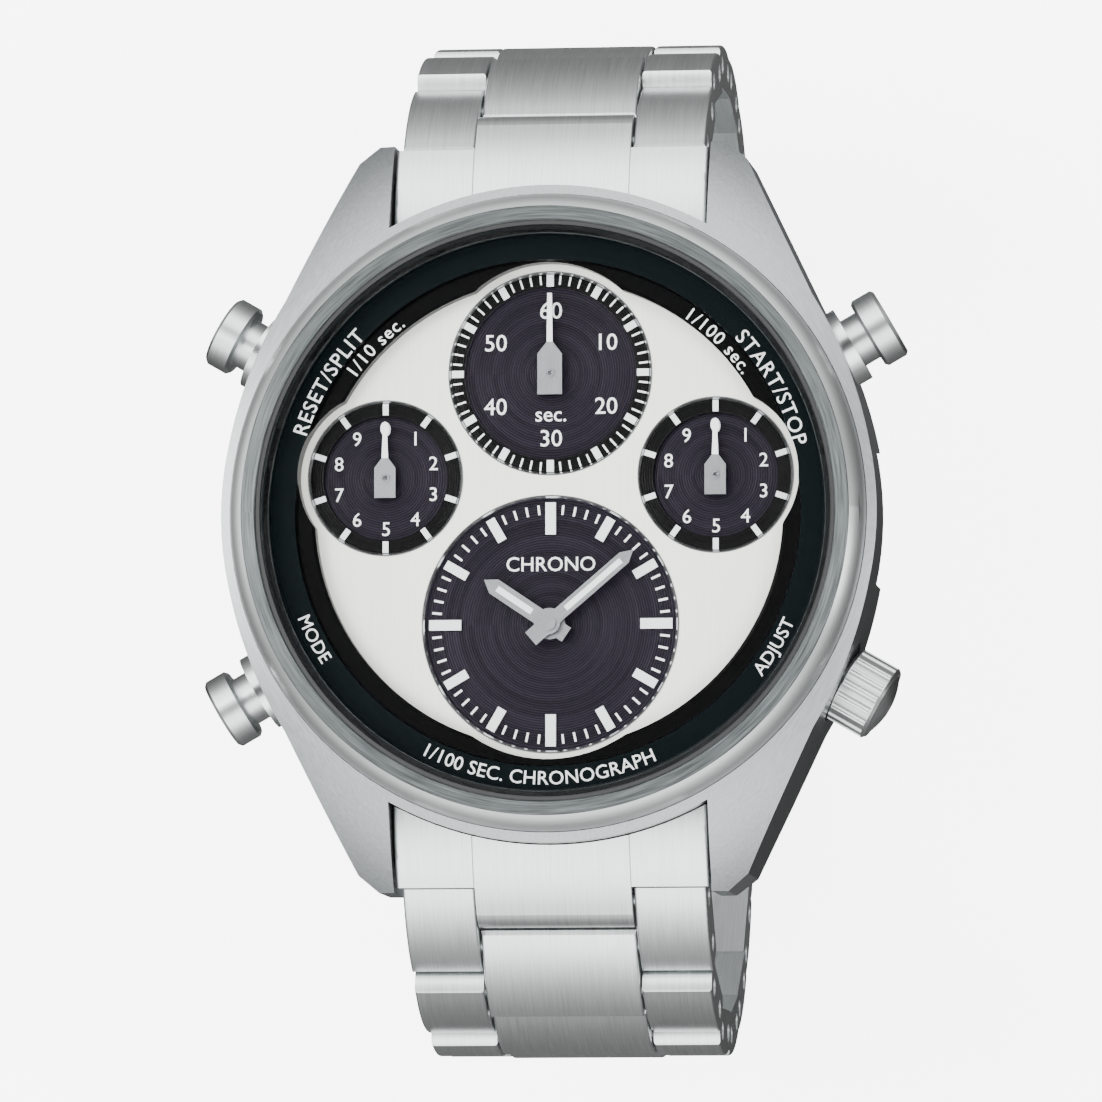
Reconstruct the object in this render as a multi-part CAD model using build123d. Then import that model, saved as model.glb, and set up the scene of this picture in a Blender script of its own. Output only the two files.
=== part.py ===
from build123d import *
import math
import os

# Chronograph wristwatch on a three-piece-wide steel bracelet with a folding clasp.
# Row frame, in mm: +Z out of the dial, +Y to 12 o'clock, +X to 3 o'clock.
# The origin is the centre of the caseback's outer face, so the caseback lies on z = 0.

# ---- overall sizes -------------------------------------------------------
CASE_DIAMETER = 42.0
CASE_HEIGHT = 13.0
LUG_OVERHANG = 3.0
LUG_TO_LUG = CASE_DIAMETER + 2 * LUG_OVERHANG
LUG_GAP = 20.4
BRACELET_WIDTH = 19.5
CLASP_WIDTH = 17.6
LINK_PITCH = 7.4
LINK_THICKNESS = 3.0
CENTRE_LINK_WIDTH = 10.0

# ---- case ------------------------------------------------------------------
CASE_RADIUS = CASE_DIAMETER / 2
CASE_UNDERSIDE = 0.9
CASE_SHOULDER = 9.5
CAVITY_RADIUS = CASE_RADIUS - 4.4
DIAL_LEDGE = 8.0
BEZEL_RADIUS = CASE_RADIUS - 0.65
BEZEL_TOP = CASE_HEIGHT - 0.35
BEZEL_RING_OUTER = CASE_RADIUS - 1.57
BEZEL_BORE = CASE_RADIUS - 2.5
CRYSTAL_THICKNESS = 1.5
CRYSTAL_CHAMFER = 0.35
CASEBACK_RADIUS = CASE_RADIUS - 3.4
CASEBACK_WALL = 1.3
WRENCH_NOTCHES = 6
SEAT_GAP = 0.02

# ---- lugs and their spring bars ----------------------------------------
LUG_TIP_WIDTH = 2.3
LUG_TIP_FLAT = 1.0
LUG_TIP_DROP = 1.1
RIM_TOP = 10.75
RIM_SEAM = 0.05
DOME_MIDDLE = (CASE_RADIUS + 2.6, 9.3)
DOME_END = (CASE_RADIUS + 6.6, 6.2)
LUG_SHOULDER_X = 0.8048 * CASE_RADIUS
LUG_SHOULDER_Y = 0.6571 * CASE_RADIUS
SPRING_BAR_RADIUS = 0.75
SPRING_BAR_Y = LUG_TO_LUG / 2 - 2.0
SPRING_BAR_Z = 3.2
SPRING_BAR_ENTRY = 0.7

# ---- dial and flange -------------------------------------------------------
DIAL_TOP = 9.0
DIAL_RADIUS = CASE_RADIUS - 2.8
FLANGE_OPENING = CASE_RADIUS - 6.0
FLANGE_STEP = CASE_RADIUS - 4.8
FLANGE_HIGH = 10.7
FLANGE_LOW = 10.25
FLANGE_NOTCH = 0.45
RIM_WIDTH = 0.17
SUBDIAL_FLOOR = 8.4
SUBDIAL_FACE = 8.62
SUBDIAL_RING = 8.86
SECONDS_BLOCK_WIDTH = 0.45
COUNTER_BLOCK_WIDTH = 0.36
QUARTER_BLOCK_WIDTH = 0.66
HOUR_BLOCK_WIDTH = 0.6
RING_BLOCK_HEIGHT = 0.12
HOUR_BLOCK_HEIGHT = 0.2

# ---- sub-dials: place of each pivot and its outer radius ---------------------
SECONDS_PIVOT = (0.0, 9.07)
SECONDS_RADIUS = 6.55
TENTHS_PIVOT = (-10.6, 2.45)
HUNDREDTHS_PIVOT = (10.6, 2.45)
SMALL_DIAL_RADIUS = 5.0
TIME_PIVOT = (0.0, -7.0)
TIME_DIAL_RADIUS = 8.25

# ---- hands -------------------------------------------------------------------
ARBOR_RADIUS = 0.35
HOUR_TUBE_RADIUS = 0.7
HAND_THICKNESS = 0.18
SMALL_HAND_Z = 9.15
HOUR_HAND_Z = 9.2
MINUTE_HAND_Z = 9.62
HOUR_HAND_LENGTH = 5.07
MINUTE_HAND_LENGTH = 7.1
SECONDS_HAND_LENGTH = 5.13
SMALL_HAND_LENGTH = 3.6
HOUR_CLOCK_ANGLE = 304.0
MINUTE_CLOCK_ANGLE = 49.4
RUNNING_GAP = 0.05

# ---- motion work: wheels that turn the time hands at 12 to 1 ---------------------
CANNON_TEETH = 12
MINUTE_WHEEL_TEETH = 36
MINUTE_PINION_TEETH = 12
HOUR_WHEEL_TEETH = 48
MOTION_CENTRES = 2.4
COUNTER_TEETH = 48
COUNTER_MODULE = 0.1

# ---- pushers and crown ---------------------------------------------------
CONTROL_AXIS_Z = 6.0
PUSHER_ANGLES = {"start": 30.0, "reset": 150.0, "mode": 210.0}
CROWN_ANGLE = -30.0
PUSHER_CAP_RADIUS = 2.375
PUSHER_CAP_THICKNESS = 1.7
PUSHER_NECK_RADIUS = 1.65
PUSHER_STEM_RADIUS = 0.6
PUSHER_REACH = CASE_RADIUS + 3.9
PUSHER_TRAVEL = 0.9
COLLAR_RADIUS = 2.52
COLLAR_REACH = CASE_RADIUS + 1.1
TUBE_WALL = 0.25
CROWN_RADIUS = 2.5
CROWN_LENGTH = 2.9
CROWN_DOME = 0.5
CROWN_FLUTES = 18
CROWN_GAP = 0.35
STEM_RADIUS = 0.6
CROWN_TRAVEL = 1.0

# ---- bracelet ----------------------------------------------------------------
FIRST_HINGE_Y = LUG_TO_LUG / 2 + 0.3
FIRST_HINGE_Z = 5.1
INCLINES_12 = [50.0, 74.0, 90.0, 106.0, 122.0, 139.0]
INCLINES_6 = [42.0, 70.0, 90.0, 106.0, 122.0, 139.0]
LINK_END_RADIUS = LINK_PITCH / 4
LINK_END_GAP = 0.16
LINK_SIDE_GAP = 0.12
LINK_EDGE_ROUND = 0.18
LINK_CHAMFER = 0.22
LINK_CROWN = 0.55
PIN_RADIUS = 0.6
PIN_HOLD_GAP = 0.01
PIN_BORE_GAP = 0.06
PIN_INSET = 0.3
END_LINK_SIDE_GAP = 0.15
END_LINK_START = CASE_RADIUS - 3.5
END_LINK_TOP = CASE_SHOULDER - 0.25
END_LINK_ROUND = 0.25
CASE_FIT = 0.08
SEAM_DEPTH = 0.3
SEAM_WIDTH = 0.08

# ---- clasp --------------------------------------------------------------------
CLASP_CURVE = 54.0
COVER_INNER = 0.5
COVER_OUTER = 1.7
MIDDLE_INNER = -0.85
MIDDLE_OUTER = 0.15
INNER_INNER = -2.2
INNER_OUTER = -1.2
INNER_BLADE_WIDTH = 13.8
MIDDLE_BLADE_WIDTH = 12.0
KNUCKLE_WIDTH = 6.2
END_CLEAR = 2.3
FOLD_PIVOT_RADIUS = 1.15
COVER_PIVOT_RADIUS = 0.8
BUTTON_TRAVEL = 0.6


# ---- helpers --------------------------------------------------------------------
def cyl(radius, low, high, x=0.0, y=0.0):
    """An upright cylinder between two heights."""
    base = (Align.CENTER, Align.CENTER, Align.MIN)
    return Pos(x, y, low) * Cylinder(radius, high - low, align=base)


def tube(inner, outer, low, high, x=0.0, y=0.0):
    """An upright ring between two heights."""
    return cyl(outer, low, high, x, y) - cyl(inner, low - 1, high + 1, x, y)


def turned(points):
    """A solid turned about the case axis from (radius, height) points."""
    face = make_face(Plane.XZ * Polyline(*points, close=True))
    return revolve(face, Axis.Z)


def radial(angle):
    """The place on the case axis, at control height, facing out along an angle."""
    return Pos(0, 0, CONTROL_AXIS_Z) * Rot(0, 0, angle)


def radial_cyl(angle, radius, start, end):
    """A cylinder that points out from the case axis at control height."""
    base = (Align.CENTER, Align.CENTER, Align.MIN)
    rod = Cylinder(radius, end - start, align=base)
    return radial(angle) * Pos(start, 0, 0) * Rot(0, 90, 0) * rod


def across(points, half_width, x=0.0):
    """A side outline of (y, z) points, carried both ways along X."""
    face = make_face(Plane.YZ * Polyline(*points, close=True))
    return Pos(x, 0, 0) * extrude(face, half_width, both=True)


def cross_pin(radius, low_x, high_x, y=0.0, z=0.0):
    """A pin along X."""
    base = (Align.CENTER, Align.CENTER, Align.MIN)
    rod = Cylinder(radius, high_x - low_x, align=base)
    return Pos(low_x, y, z) * Rot(0, 90, 0) * rod


def flat_shape(points, low, high):
    """A plan outline of (x, y) points between two heights."""
    face = make_face(Polyline(*points, close=True))
    return Pos(0, 0, low) * extrude(face, high - low)


def both_sides(shape):
    """A shape and its mirror image across the 12 to 6 o'clock line."""
    return [shape, mirror(shape, about=Plane.YZ)]


def save(name, shapes):
    """Write one node; a list becomes a group of separate solids."""
    if not isinstance(shapes, list):
        shapes = [shapes]
    solids = [solid for shape in shapes for solid in shape.solids()]
    body = solids[0] if len(solids) == 1 else Compound(children=solids)
    export_step(body, f"parts/{name}.step")


# ---- case: machined middle with four lugs ---------------------------------------
def case_outline(grow=0.0):
    """Outside of the round case, as (radius, height) points."""
    return [
        (CASE_RADIUS - 2.3 + grow, CASE_UNDERSIDE - grow),
        (CASE_RADIUS - 1.3 + grow, 2.0 - grow),
        (CASE_RADIUS + grow, 5.2 - grow),
        (CASE_RADIUS + grow, CASE_SHOULDER - 1.0 + grow),
        (CASE_RADIUS - 0.12 + grow, CASE_SHOULDER - 0.5 + grow),
        (CASE_RADIUS - 0.45 + grow, CASE_SHOULDER + grow),
    ]


def case_dome():
    """Everything under the sloping top that the rim and the lugs share."""
    seam = BEZEL_RADIUS + RIM_SEAM
    top = ThreePointArc((seam, RIM_TOP), DOME_MIDDLE, DOME_END)
    rest = Polyline(DOME_END, (DOME_END[0], -1), (0, -1), (0, RIM_TOP), (seam, RIM_TOP))
    return revolve(make_face([Plane.XZ * edge for edge in (top, rest)]), Axis.Z)


def lug():
    """The lug at 1 o'clock: a plan outline cut to a side outline and to the dome."""
    tip = LUG_TO_LUG / 2
    inner = LUG_GAP / 2
    flat = (inner + LUG_TIP_FLAT, tip)
    corner = (inner + LUG_TIP_WIDTH, tip - LUG_TIP_DROP)
    shoulder = (LUG_SHOULDER_X, LUG_SHOULDER_Y)
    meet = (CASE_RADIUS * math.cos(math.radians(12)), CASE_RADIUS * math.sin(math.radians(12)))
    halfway = ((CASE_RADIUS + 0.3) * math.cos(math.radians(27)), (CASE_RADIUS + 0.3) * math.sin(math.radians(27)))
    flank = ThreePointArc(shoulder, halfway, meet)
    back = Polyline(meet, (inner + 2, meet[1]), (inner, 12.0), (inner, tip), flat, corner, shoulder)
    plan = extrude(make_face([flank, back]), RIM_TOP)
    side = across(
        [
            (2.0, RIM_TOP),
            (tip + 0.2, RIM_TOP),
            (tip + 0.2, 1.9),
            (tip - 1.1, 0.6),
            (tip - 6.0, 0.7),
            (2.0, 2.2),
        ],
        CASE_RADIUS + 2,
    )
    return plan & side & case_dome()


def case_middle():
    wall = turned(case_outline() + [(CAVITY_RADIUS, CASE_SHOULDER), (CAVITY_RADIUS, CASE_UNDERSIDE)])
    seam = BEZEL_RADIUS + RIM_SEAM
    rim = tube(seam, CASE_RADIUS, CASE_SHOULDER - 1.1, RIM_TOP) & case_dome()
    right_top = lug()
    top_pair = both_sides(right_top)
    bottom_pair = [mirror(piece, about=Plane.XZ) for piece in top_pair]
    body = wall + rim
    for piece in top_pair + bottom_pair:
        piece = piece - cyl(CAVITY_RADIUS + 1, -1, CASE_SHOULDER + 1)
        body = body + (piece - cyl(seam, CASE_SHOULDER, RIM_TOP + 1))
    body = body - cyl(DIAL_RADIUS + 0.1, DIAL_LEDGE, CASE_SHOULDER + 1)
    hole_end = LUG_GAP / 2 + SPRING_BAR_ENTRY + 0.1
    for side in (-1, 1):
        body = body - cross_pin(SPRING_BAR_RADIUS + RUNNING_GAP, -hole_end, hole_end, side * SPRING_BAR_Y, SPRING_BAR_Z)
    shank = PUSHER_NECK_RADIUS + RUNNING_GAP + TUBE_WALL
    for angle in PUSHER_ANGLES.values():
        body = body - radial_cyl(angle, shank, CAVITY_RADIUS - 1, CASE_RADIUS + 2)
        body = body - radial_cyl(angle, COLLAR_RADIUS + SEAT_GAP, CASE_RADIUS - 0.6, CASE_RADIUS + 3)
    shank = STEM_RADIUS + RUNNING_GAP + 2 * TUBE_WALL
    body = body - radial_cyl(CROWN_ANGLE, shank, CAVITY_RADIUS - 1, CASE_RADIUS + 2)
    body = body - radial_cyl(CROWN_ANGLE, CROWN_RADIUS + 0.2, CASE_RADIUS - 0.1, CASE_RADIUS + 3)
    return body


def case_tubes():
    """Collared tubes pressed into the case wall: three for pushers, one for the stem."""
    pieces = []
    neck_bore = PUSHER_NECK_RADIUS + RUNNING_GAP
    for angle in PUSHER_ANGLES.values():
        piece = radial_cyl(angle, neck_bore + TUBE_WALL - 0.01, CAVITY_RADIUS + 0.5, COLLAR_REACH)
        piece = piece + radial_cyl(angle, COLLAR_RADIUS, CASE_RADIUS - 0.6, COLLAR_REACH)
        pieces.append(piece - radial_cyl(angle, neck_bore, 0, COLLAR_REACH + 1))
    stem_bore = STEM_RADIUS + RUNNING_GAP
    piece = radial_cyl(CROWN_ANGLE, stem_bore + 2 * TUBE_WALL - 0.01, CAVITY_RADIUS + 0.3, CASE_RADIUS + 1.4)
    pieces.append(piece - radial_cyl(CROWN_ANGLE, stem_bore, 0, CASE_RADIUS + 3))
    return pieces


def bezel():
    seat = CASE_HEIGHT - CRYSTAL_THICKNESS - 0.14
    inner = Polyline(
        (BEZEL_RADIUS, CASE_SHOULDER),
        (DIAL_RADIUS + 0.1, CASE_SHOULDER),
        (DIAL_RADIUS + 0.1, seat - 0.3),
        (BEZEL_BORE - 0.7, seat - 0.3),
        (BEZEL_BORE - 0.7, seat),
        (BEZEL_BORE, seat),
        (BEZEL_BORE, BEZEL_TOP - 0.08),
        (BEZEL_BORE + 0.08, BEZEL_TOP),
        (BEZEL_RING_OUTER - 0.06, BEZEL_TOP),
        (BEZEL_RING_OUTER, BEZEL_TOP - 0.06),
    )
    bulge = (BEZEL_RING_OUTER + 0.62, BEZEL_TOP - 0.75)
    slope = ThreePointArc((BEZEL_RING_OUTER, BEZEL_TOP - 0.06), bulge, (BEZEL_RADIUS, BEZEL_TOP - 1.7))
    wall = Line((BEZEL_RADIUS, BEZEL_TOP - 1.7), (BEZEL_RADIUS, CASE_SHOULDER))
    return revolve(make_face([Plane.XZ * edge for edge in (inner, slope, wall)]), Axis.Z)


def crystal():
    low = CASE_HEIGHT - CRYSTAL_THICKNESS
    edge = BEZEL_BORE - 0.3
    return turned([(0, low), (edge, low), (edge, CASE_HEIGHT - CRYSTAL_CHAMFER), (edge - CRYSTAL_CHAMFER, CASE_HEIGHT), (0, CASE_HEIGHT)])


def crystal_gasket():
    low = CASE_HEIGHT - CRYSTAL_THICKNESS
    outer = BEZEL_BORE - SEAT_GAP
    inner = BEZEL_BORE - 0.3 + SEAT_GAP
    return turned([(inner - 0.35, low - 0.12), (outer, low - 0.12), (outer, BEZEL_TOP - 0.15), (inner, BEZEL_TOP - 0.15), (inner, low), (inner - 0.35, low)])


def caseback():
    spigot = CAVITY_RADIUS - 0.06
    top = CASE_UNDERSIDE + CASEBACK_WALL
    plate = turned([(0, 0), (CASEBACK_RADIUS - 0.4, 0), (CASEBACK_RADIUS, 0.35), (CASEBACK_RADIUS, CASE_UNDERSIDE), (spigot, CASE_UNDERSIDE), (spigot, top), (spigot - 1.0, top), (spigot - 1.0, 1.2), (0, 1.2)])
    for k in range(WRENCH_NOTCHES):
        notch = Pos(CASEBACK_RADIUS, 0, 0) * Box(2.2, 2.4, 0.9)
        plate = plate - Rot(0, 0, k * 360 / WRENCH_NOTCHES) * notch
    groove = tube(CASEBACK_RADIUS - 4.2, CASEBACK_RADIUS - 4.0, -0.05, 0.08)
    return plate - groove


def caseback_gasket():
    top = CASE_UNDERSIDE + CASEBACK_WALL
    return tube(CAVITY_RADIUS - 0.9, CAVITY_RADIUS - 0.02, top + 0.02, top + 0.4)


# ---- dial side --------------------------------------------------------------
def subdial_places():
    return [
        (SECONDS_PIVOT, SECONDS_RADIUS),
        (TENTHS_PIVOT, SMALL_DIAL_RADIUS),
        (HUNDREDTHS_PIVOT, SMALL_DIAL_RADIUS),
        (TIME_PIVOT, TIME_DIAL_RADIUS),
    ]


def dial_plate():
    plate = cyl(DIAL_RADIUS, DIAL_LEDGE, DIAL_TOP)
    for (x, y), radius in subdial_places():
        plate = plate - cyl(radius + 0.01, SUBDIAL_FLOOR, DIAL_TOP + 1, x, y)
        plate = plate - cyl(HOUR_TUBE_RADIUS + 0.3, 0, DIAL_TOP, x, y)
    return plate


def dial_flange():
    """Two-step ring between dial and glass, notched where a sub-dial reaches under it."""
    outer = DIAL_RADIUS
    ring = turned(
        [
            (FLANGE_OPENING, DIAL_TOP),
            (outer, DIAL_TOP),
            (outer, FLANGE_HIGH + 0.05),
            (FLANGE_STEP + 1.45, FLANGE_HIGH + 0.05),
            (FLANGE_STEP + 1.4, FLANGE_HIGH),
            (FLANGE_STEP, FLANGE_HIGH),
            (FLANGE_STEP - 0.1, FLANGE_LOW),
            (FLANGE_OPENING + 0.2, FLANGE_LOW),
            (FLANGE_OPENING, FLANGE_LOW - 0.2),
        ]
    )
    for (x, y), radius in subdial_places():
        ring = ring - cyl(radius + FLANGE_NOTCH, 0, 20, x, y)
    return ring


def ringed_subdial(pivot, radius, ring_width):
    """A small dial with a raised outer ring."""
    edge = radius - RIM_WIDTH - 0.01
    disc = cyl(edge, SUBDIAL_FLOOR, SUBDIAL_FACE)
    disc = disc + tube(radius - ring_width, edge, SUBDIAL_FACE, SUBDIAL_RING)
    disc = disc - cyl(ARBOR_RADIUS + 0.25, 0, 20)
    return Pos(pivot[0], pivot[1], 0) * disc


def time_subdial():
    disc = cyl(TIME_DIAL_RADIUS - RIM_WIDTH - 0.01, SUBDIAL_FLOOR, SUBDIAL_FACE)
    disc = disc - cyl(HOUR_TUBE_RADIUS + 0.2, 0, 20)
    return Pos(TIME_PIVOT[0], TIME_PIVOT[1], 0) * disc


def subdial_rims():
    """Thin bevelled metal hoops around the four small dials."""
    rims = []
    for (x, y), radius in subdial_places():
        low = radius - RIM_WIDTH
        points = [(low, SUBDIAL_FLOOR), (radius, SUBDIAL_FLOOR), (radius, DIAL_TOP + 0.06), (radius - 0.07, DIAL_TOP + 0.06), (low, DIAL_TOP - 0.08)]
        rims.append(Pos(x, y, 0) * turned(points))
    return rims


def marker_circle(pivot, count, inner, outer, width, low, high):
    """Raised blocks set evenly around a pivot, the first at 12 o'clock."""
    blocks = []
    for k in range(count):
        turn = Pos(pivot[0], pivot[1], 0) * Rot(0, 0, -360 / count * k)
        middle = (inner + outer) / 2
        block = Pos(0, middle, (low + high) / 2) * Box(width, outer - inner, high - low)
        blocks.append(turn * block)
    return blocks


def subdial_markers():
    """Luminous blocks of the four small dials."""
    top = SUBDIAL_RING + RING_BLOCK_HEIGHT
    near, far = SECONDS_RADIUS - 0.98, SECONDS_RADIUS - 0.22
    blocks = marker_circle(SECONDS_PIVOT, 12, near, far, SECONDS_BLOCK_WIDTH, SUBDIAL_RING, top)
    near, far = SMALL_DIAL_RADIUS - 0.95, SMALL_DIAL_RADIUS - 0.22
    for pivot in (TENTHS_PIVOT, HUNDREDTHS_PIVOT):
        blocks += marker_circle(pivot, 10, near, far, COUNTER_BLOCK_WIDTH, SUBDIAL_RING, top)
    top = SUBDIAL_FACE + HOUR_BLOCK_HEIGHT
    near, far = TIME_DIAL_RADIUS - 2.5, TIME_DIAL_RADIUS - 0.45
    blocks += marker_circle(TIME_PIVOT, 4, near, far, QUARTER_BLOCK_WIDTH, SUBDIAL_FACE, top)
    near, far = TIME_DIAL_RADIUS - 2.05, TIME_DIAL_RADIUS - 0.47
    hours = marker_circle(TIME_PIVOT, 12, near, far, HOUR_BLOCK_WIDTH, SUBDIAL_FACE, top)
    blocks += [block for k, block in enumerate(hours) if k % 3]
    return blocks


# ---- hands ------------------------------------------------------------------
def baton(length, width, tail, tail_width, slot_start, slot_width, hub, low):
    """A pointed time hand along +Y with a slot for luminous paint."""
    half = width / 2
    tail_half = tail_width / 2
    outline = [(-half, 0.3), (-half, length - 0.75), (0, length), (half, length - 0.75), (half, 0.3), (tail_half, 0.2), (tail_half, -tail), (-tail_half, -tail), (-tail_half, 0.2)]
    hand = flat_shape(outline, low, low + HAND_THICKNESS)
    hand = hand + cyl(hub, low, low + HAND_THICKNESS)
    slot_length = length - 1.0 - slot_start
    slot = Pos(0, slot_start + slot_length / 2, low + HAND_THICKNESS) * Box(slot_width, slot_length, 0.12)
    return hand - slot


def placed(shape, pivot, clock_angle=0.0):
    """Turn a shape that points at 12 to a clock angle and set it on its pivot."""
    return Pos(pivot[0], pivot[1], 0) * Rot(0, 0, -clock_angle) * shape


def hour_hand():
    hand = baton(HOUR_HAND_LENGTH, 1.05, 1.3, 1.07, 1.35, 0.43, 1.0, HOUR_HAND_Z)
    hand = hand - cyl(HOUR_TUBE_RADIUS - 0.12, 0, 20)
    return placed(hand, TIME_PIVOT, HOUR_CLOCK_ANGLE)


def minute_hand():
    hand = baton(MINUTE_HAND_LENGTH, 0.87, 1.53, 1.07, 1.4, 0.4, 0.7, MINUTE_HAND_Z)
    hand = hand + cyl(0.45, MINUTE_HAND_Z, MINUTE_HAND_Z + 0.35)
    hand = hand - cyl(ARBOR_RADIUS, 0, MINUTE_HAND_Z + 0.1)
    return placed(hand, TIME_PIVOT, MINUTE_CLOCK_ANGLE)


def seconds_hand():
    """Wide body with a shouldered neck and a thin pointer."""
    outline = [(-0.79, -1.38), (-0.79, 1.22), (-0.18, 2.0), (-0.14, SECONDS_HAND_LENGTH), (0.14, SECONDS_HAND_LENGTH), (0.18, 2.0), (0.79, 1.22), (0.79, -1.38)]
    hand = flat_shape(outline, SMALL_HAND_Z, SMALL_HAND_Z + HAND_THICKNESS)
    hand = hand + cyl(0.3, SMALL_HAND_Z, SMALL_HAND_Z + HAND_THICKNESS + 0.12)
    return placed(hand - cyl(ARBOR_RADIUS - 0.1, 0, SMALL_HAND_Z + 0.1), SECONDS_PIVOT)


def counter_hand(pivot):
    """Short hand with an oval tip, for the tenths and hundredths of a second."""
    outline = [(-0.68, -1.28), (-0.68, 0.64), (-0.2, 1.27), (-0.13, SMALL_HAND_LENGTH - 0.6), (0.13, SMALL_HAND_LENGTH - 0.6), (0.2, 1.27), (0.68, 0.64), (0.68, -1.28)]
    hand = flat_shape(outline, SMALL_HAND_Z, SMALL_HAND_Z + HAND_THICKNESS)
    hand = hand + Pos(0, SMALL_HAND_LENGTH - 0.37, SMALL_HAND_Z) * extrude(Ellipse(0.28, 0.37), HAND_THICKNESS)
    hand = hand + cyl(0.3, SMALL_HAND_Z, SMALL_HAND_Z + HAND_THICKNESS + 0.12)
    return placed(hand - cyl(ARBOR_RADIUS - 0.1, 0, SMALL_HAND_Z + 0.1), pivot)


# ---- wheels under the dial ------------------------------------------------------
def gear(teeth, module, low, high, turn=0.0):
    """A toothed disc; a tooth points at +X before the turn."""
    pitch_radius = teeth * module / 2
    step = 360 / teeth
    points = []
    for k in range(teeth):
        for reach, share in ((-1.1, -0.32), (0.8, -0.13), (0.8, 0.13), (-1.1, 0.32)):
            angle = math.radians(turn + step * (k + share))
            radius = pitch_radius + reach * module
            points.append((radius * math.cos(angle), radius * math.sin(angle)))
    return flat_shape(points, low, high)


def cannon_pinion():
    """Minute arbor with the pinion that drives the motion work."""
    module = 2 * MOTION_CENTRES / (CANNON_TEETH + MINUTE_WHEEL_TEETH)
    post = cyl(ARBOR_RADIUS, 4.5, MINUTE_HAND_Z + 0.1)
    post = post + gear(CANNON_TEETH, module, 6.85, 7.15)
    post = post + gear(COUNTER_TEETH, COUNTER_MODULE, 4.7, 5.0)
    return placed(post, TIME_PIVOT)


def minute_wheel():
    """Wheel and pinion between the minute arbor and the hour wheel."""
    module = 2 * MOTION_CENTRES / (CANNON_TEETH + MINUTE_WHEEL_TEETH)
    pinion_module = 2 * MOTION_CENTRES / (MINUTE_PINION_TEETH + HOUR_WHEEL_TEETH)
    wheel = gear(MINUTE_WHEEL_TEETH, module, 6.85, 7.15, turn=180 + 180 / MINUTE_WHEEL_TEETH)
    wheel = wheel + gear(MINUTE_PINION_TEETH, pinion_module, 7.15, 7.7, turn=180 + 180 / MINUTE_PINION_TEETH)
    wheel = wheel + cyl(0.2, 6.4, 7.75)
    return Pos(TIME_PIVOT[0] + MOTION_CENTRES, TIME_PIVOT[1], 0) * wheel


def hour_wheel():
    pinion_module = 2 * MOTION_CENTRES / (MINUTE_PINION_TEETH + HOUR_WHEEL_TEETH)
    wheel = gear(HOUR_WHEEL_TEETH, pinion_module, 7.4, 7.7)
    wheel = wheel + cyl(HOUR_TUBE_RADIUS, 7.7, HOUR_HAND_Z)
    wheel = wheel + cyl(HOUR_TUBE_RADIUS - 0.13, HOUR_HAND_Z, HOUR_HAND_Z + HAND_THICKNESS)
    return placed(wheel - cyl(ARBOR_RADIUS + RUNNING_GAP, 0, 20), TIME_PIVOT)


def counter_wheel(pivot):
    """Arbor and wheel under one of the three counting hands."""
    post = cyl(ARBOR_RADIUS - 0.1, 4.5, SMALL_HAND_Z + 0.1)
    return placed(post + gear(COUNTER_TEETH, COUNTER_MODULE, 4.7, 5.0), pivot)


# ---- quartz movement --------------------------------------------------------------
def control_channels(body, stem_reach):
    """Cut the ways for the pusher stems and the winding stem."""
    for angle in PUSHER_ANGLES.values():
        body = body - radial_cyl(angle, PUSHER_STEM_RADIUS + 0.2, CAVITY_RADIUS - 2.2, CASE_RADIUS)
    return body - radial_cyl(CROWN_ANGLE, STEM_RADIUS + 0.15, stem_reach, CASE_RADIUS)


def movement_ring():
    ring = tube(CAVITY_RADIUS - 0.9, CAVITY_RADIUS - 0.08, 2.75, DIAL_LEDGE - 0.05)
    return control_channels(ring, 5.0)


def main_plate():
    plate = cyl(CAVITY_RADIUS - 0.95, 5.5, DIAL_LEDGE - 0.05)
    for x, y in (SECONDS_PIVOT, TENTHS_PIVOT, HUNDREDTHS_PIVOT):
        plate = plate - cyl(ARBOR_RADIUS, 0, 20, x, y)
    plate = plate - cyl(ARBOR_RADIUS + RUNNING_GAP, 0, 20, TIME_PIVOT[0], TIME_PIVOT[1])
    plate = plate - cyl(2.3, 6.7, 20, TIME_PIVOT[0], TIME_PIVOT[1])
    plate = plate - cyl(2.2, 6.7, 20, TIME_PIVOT[0] + MOTION_CENTRES, TIME_PIVOT[1])
    plate = plate - cyl(0.25, 6.2, 20, TIME_PIVOT[0] + MOTION_CENTRES, TIME_PIVOT[1])
    plate = control_channels(plate, CAVITY_RADIUS - 7.2)
    pocket = radial(CROWN_ANGLE) * Pos(CAVITY_RADIUS - 3.9, 0, 0) * Box(2.6, 3.0, 2.2)
    return plate - pocket


def cell_place():
    return (-4.2, -2.6)


def coil_places():
    """Middle and direction of each motor coil."""
    return [((-6.9, 9.4), 38.0), ((6.9, 9.4), -38.0), ((7.0, -3.2), 90.0), ((-8.8, -9.4), -45.0)]


def coil_room(grow):
    """Space taken by the motors, grown on every side."""
    rooms = []
    for (x, y), angle in coil_places():
        rooms.append(Pos(x, y, 4.35) * Rot(0, 0, angle) * Box(6.4 + 2 * grow, 2.0 + 2 * grow, 2.0))
    return rooms


def stepping_motors():
    """Wound coils on soft-iron cores, one per hand group."""
    pieces = []
    for (x, y), angle in coil_places():
        place = Pos(x, y, 4.35) * Rot(0, 0, angle)
        winding = place * Rot(0, 90, 0) * Cylinder(0.85, 4.2)
        core = place * Box(6.4, 1.5, 0.45)
        pieces.append(winding + core)
    return pieces


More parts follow.
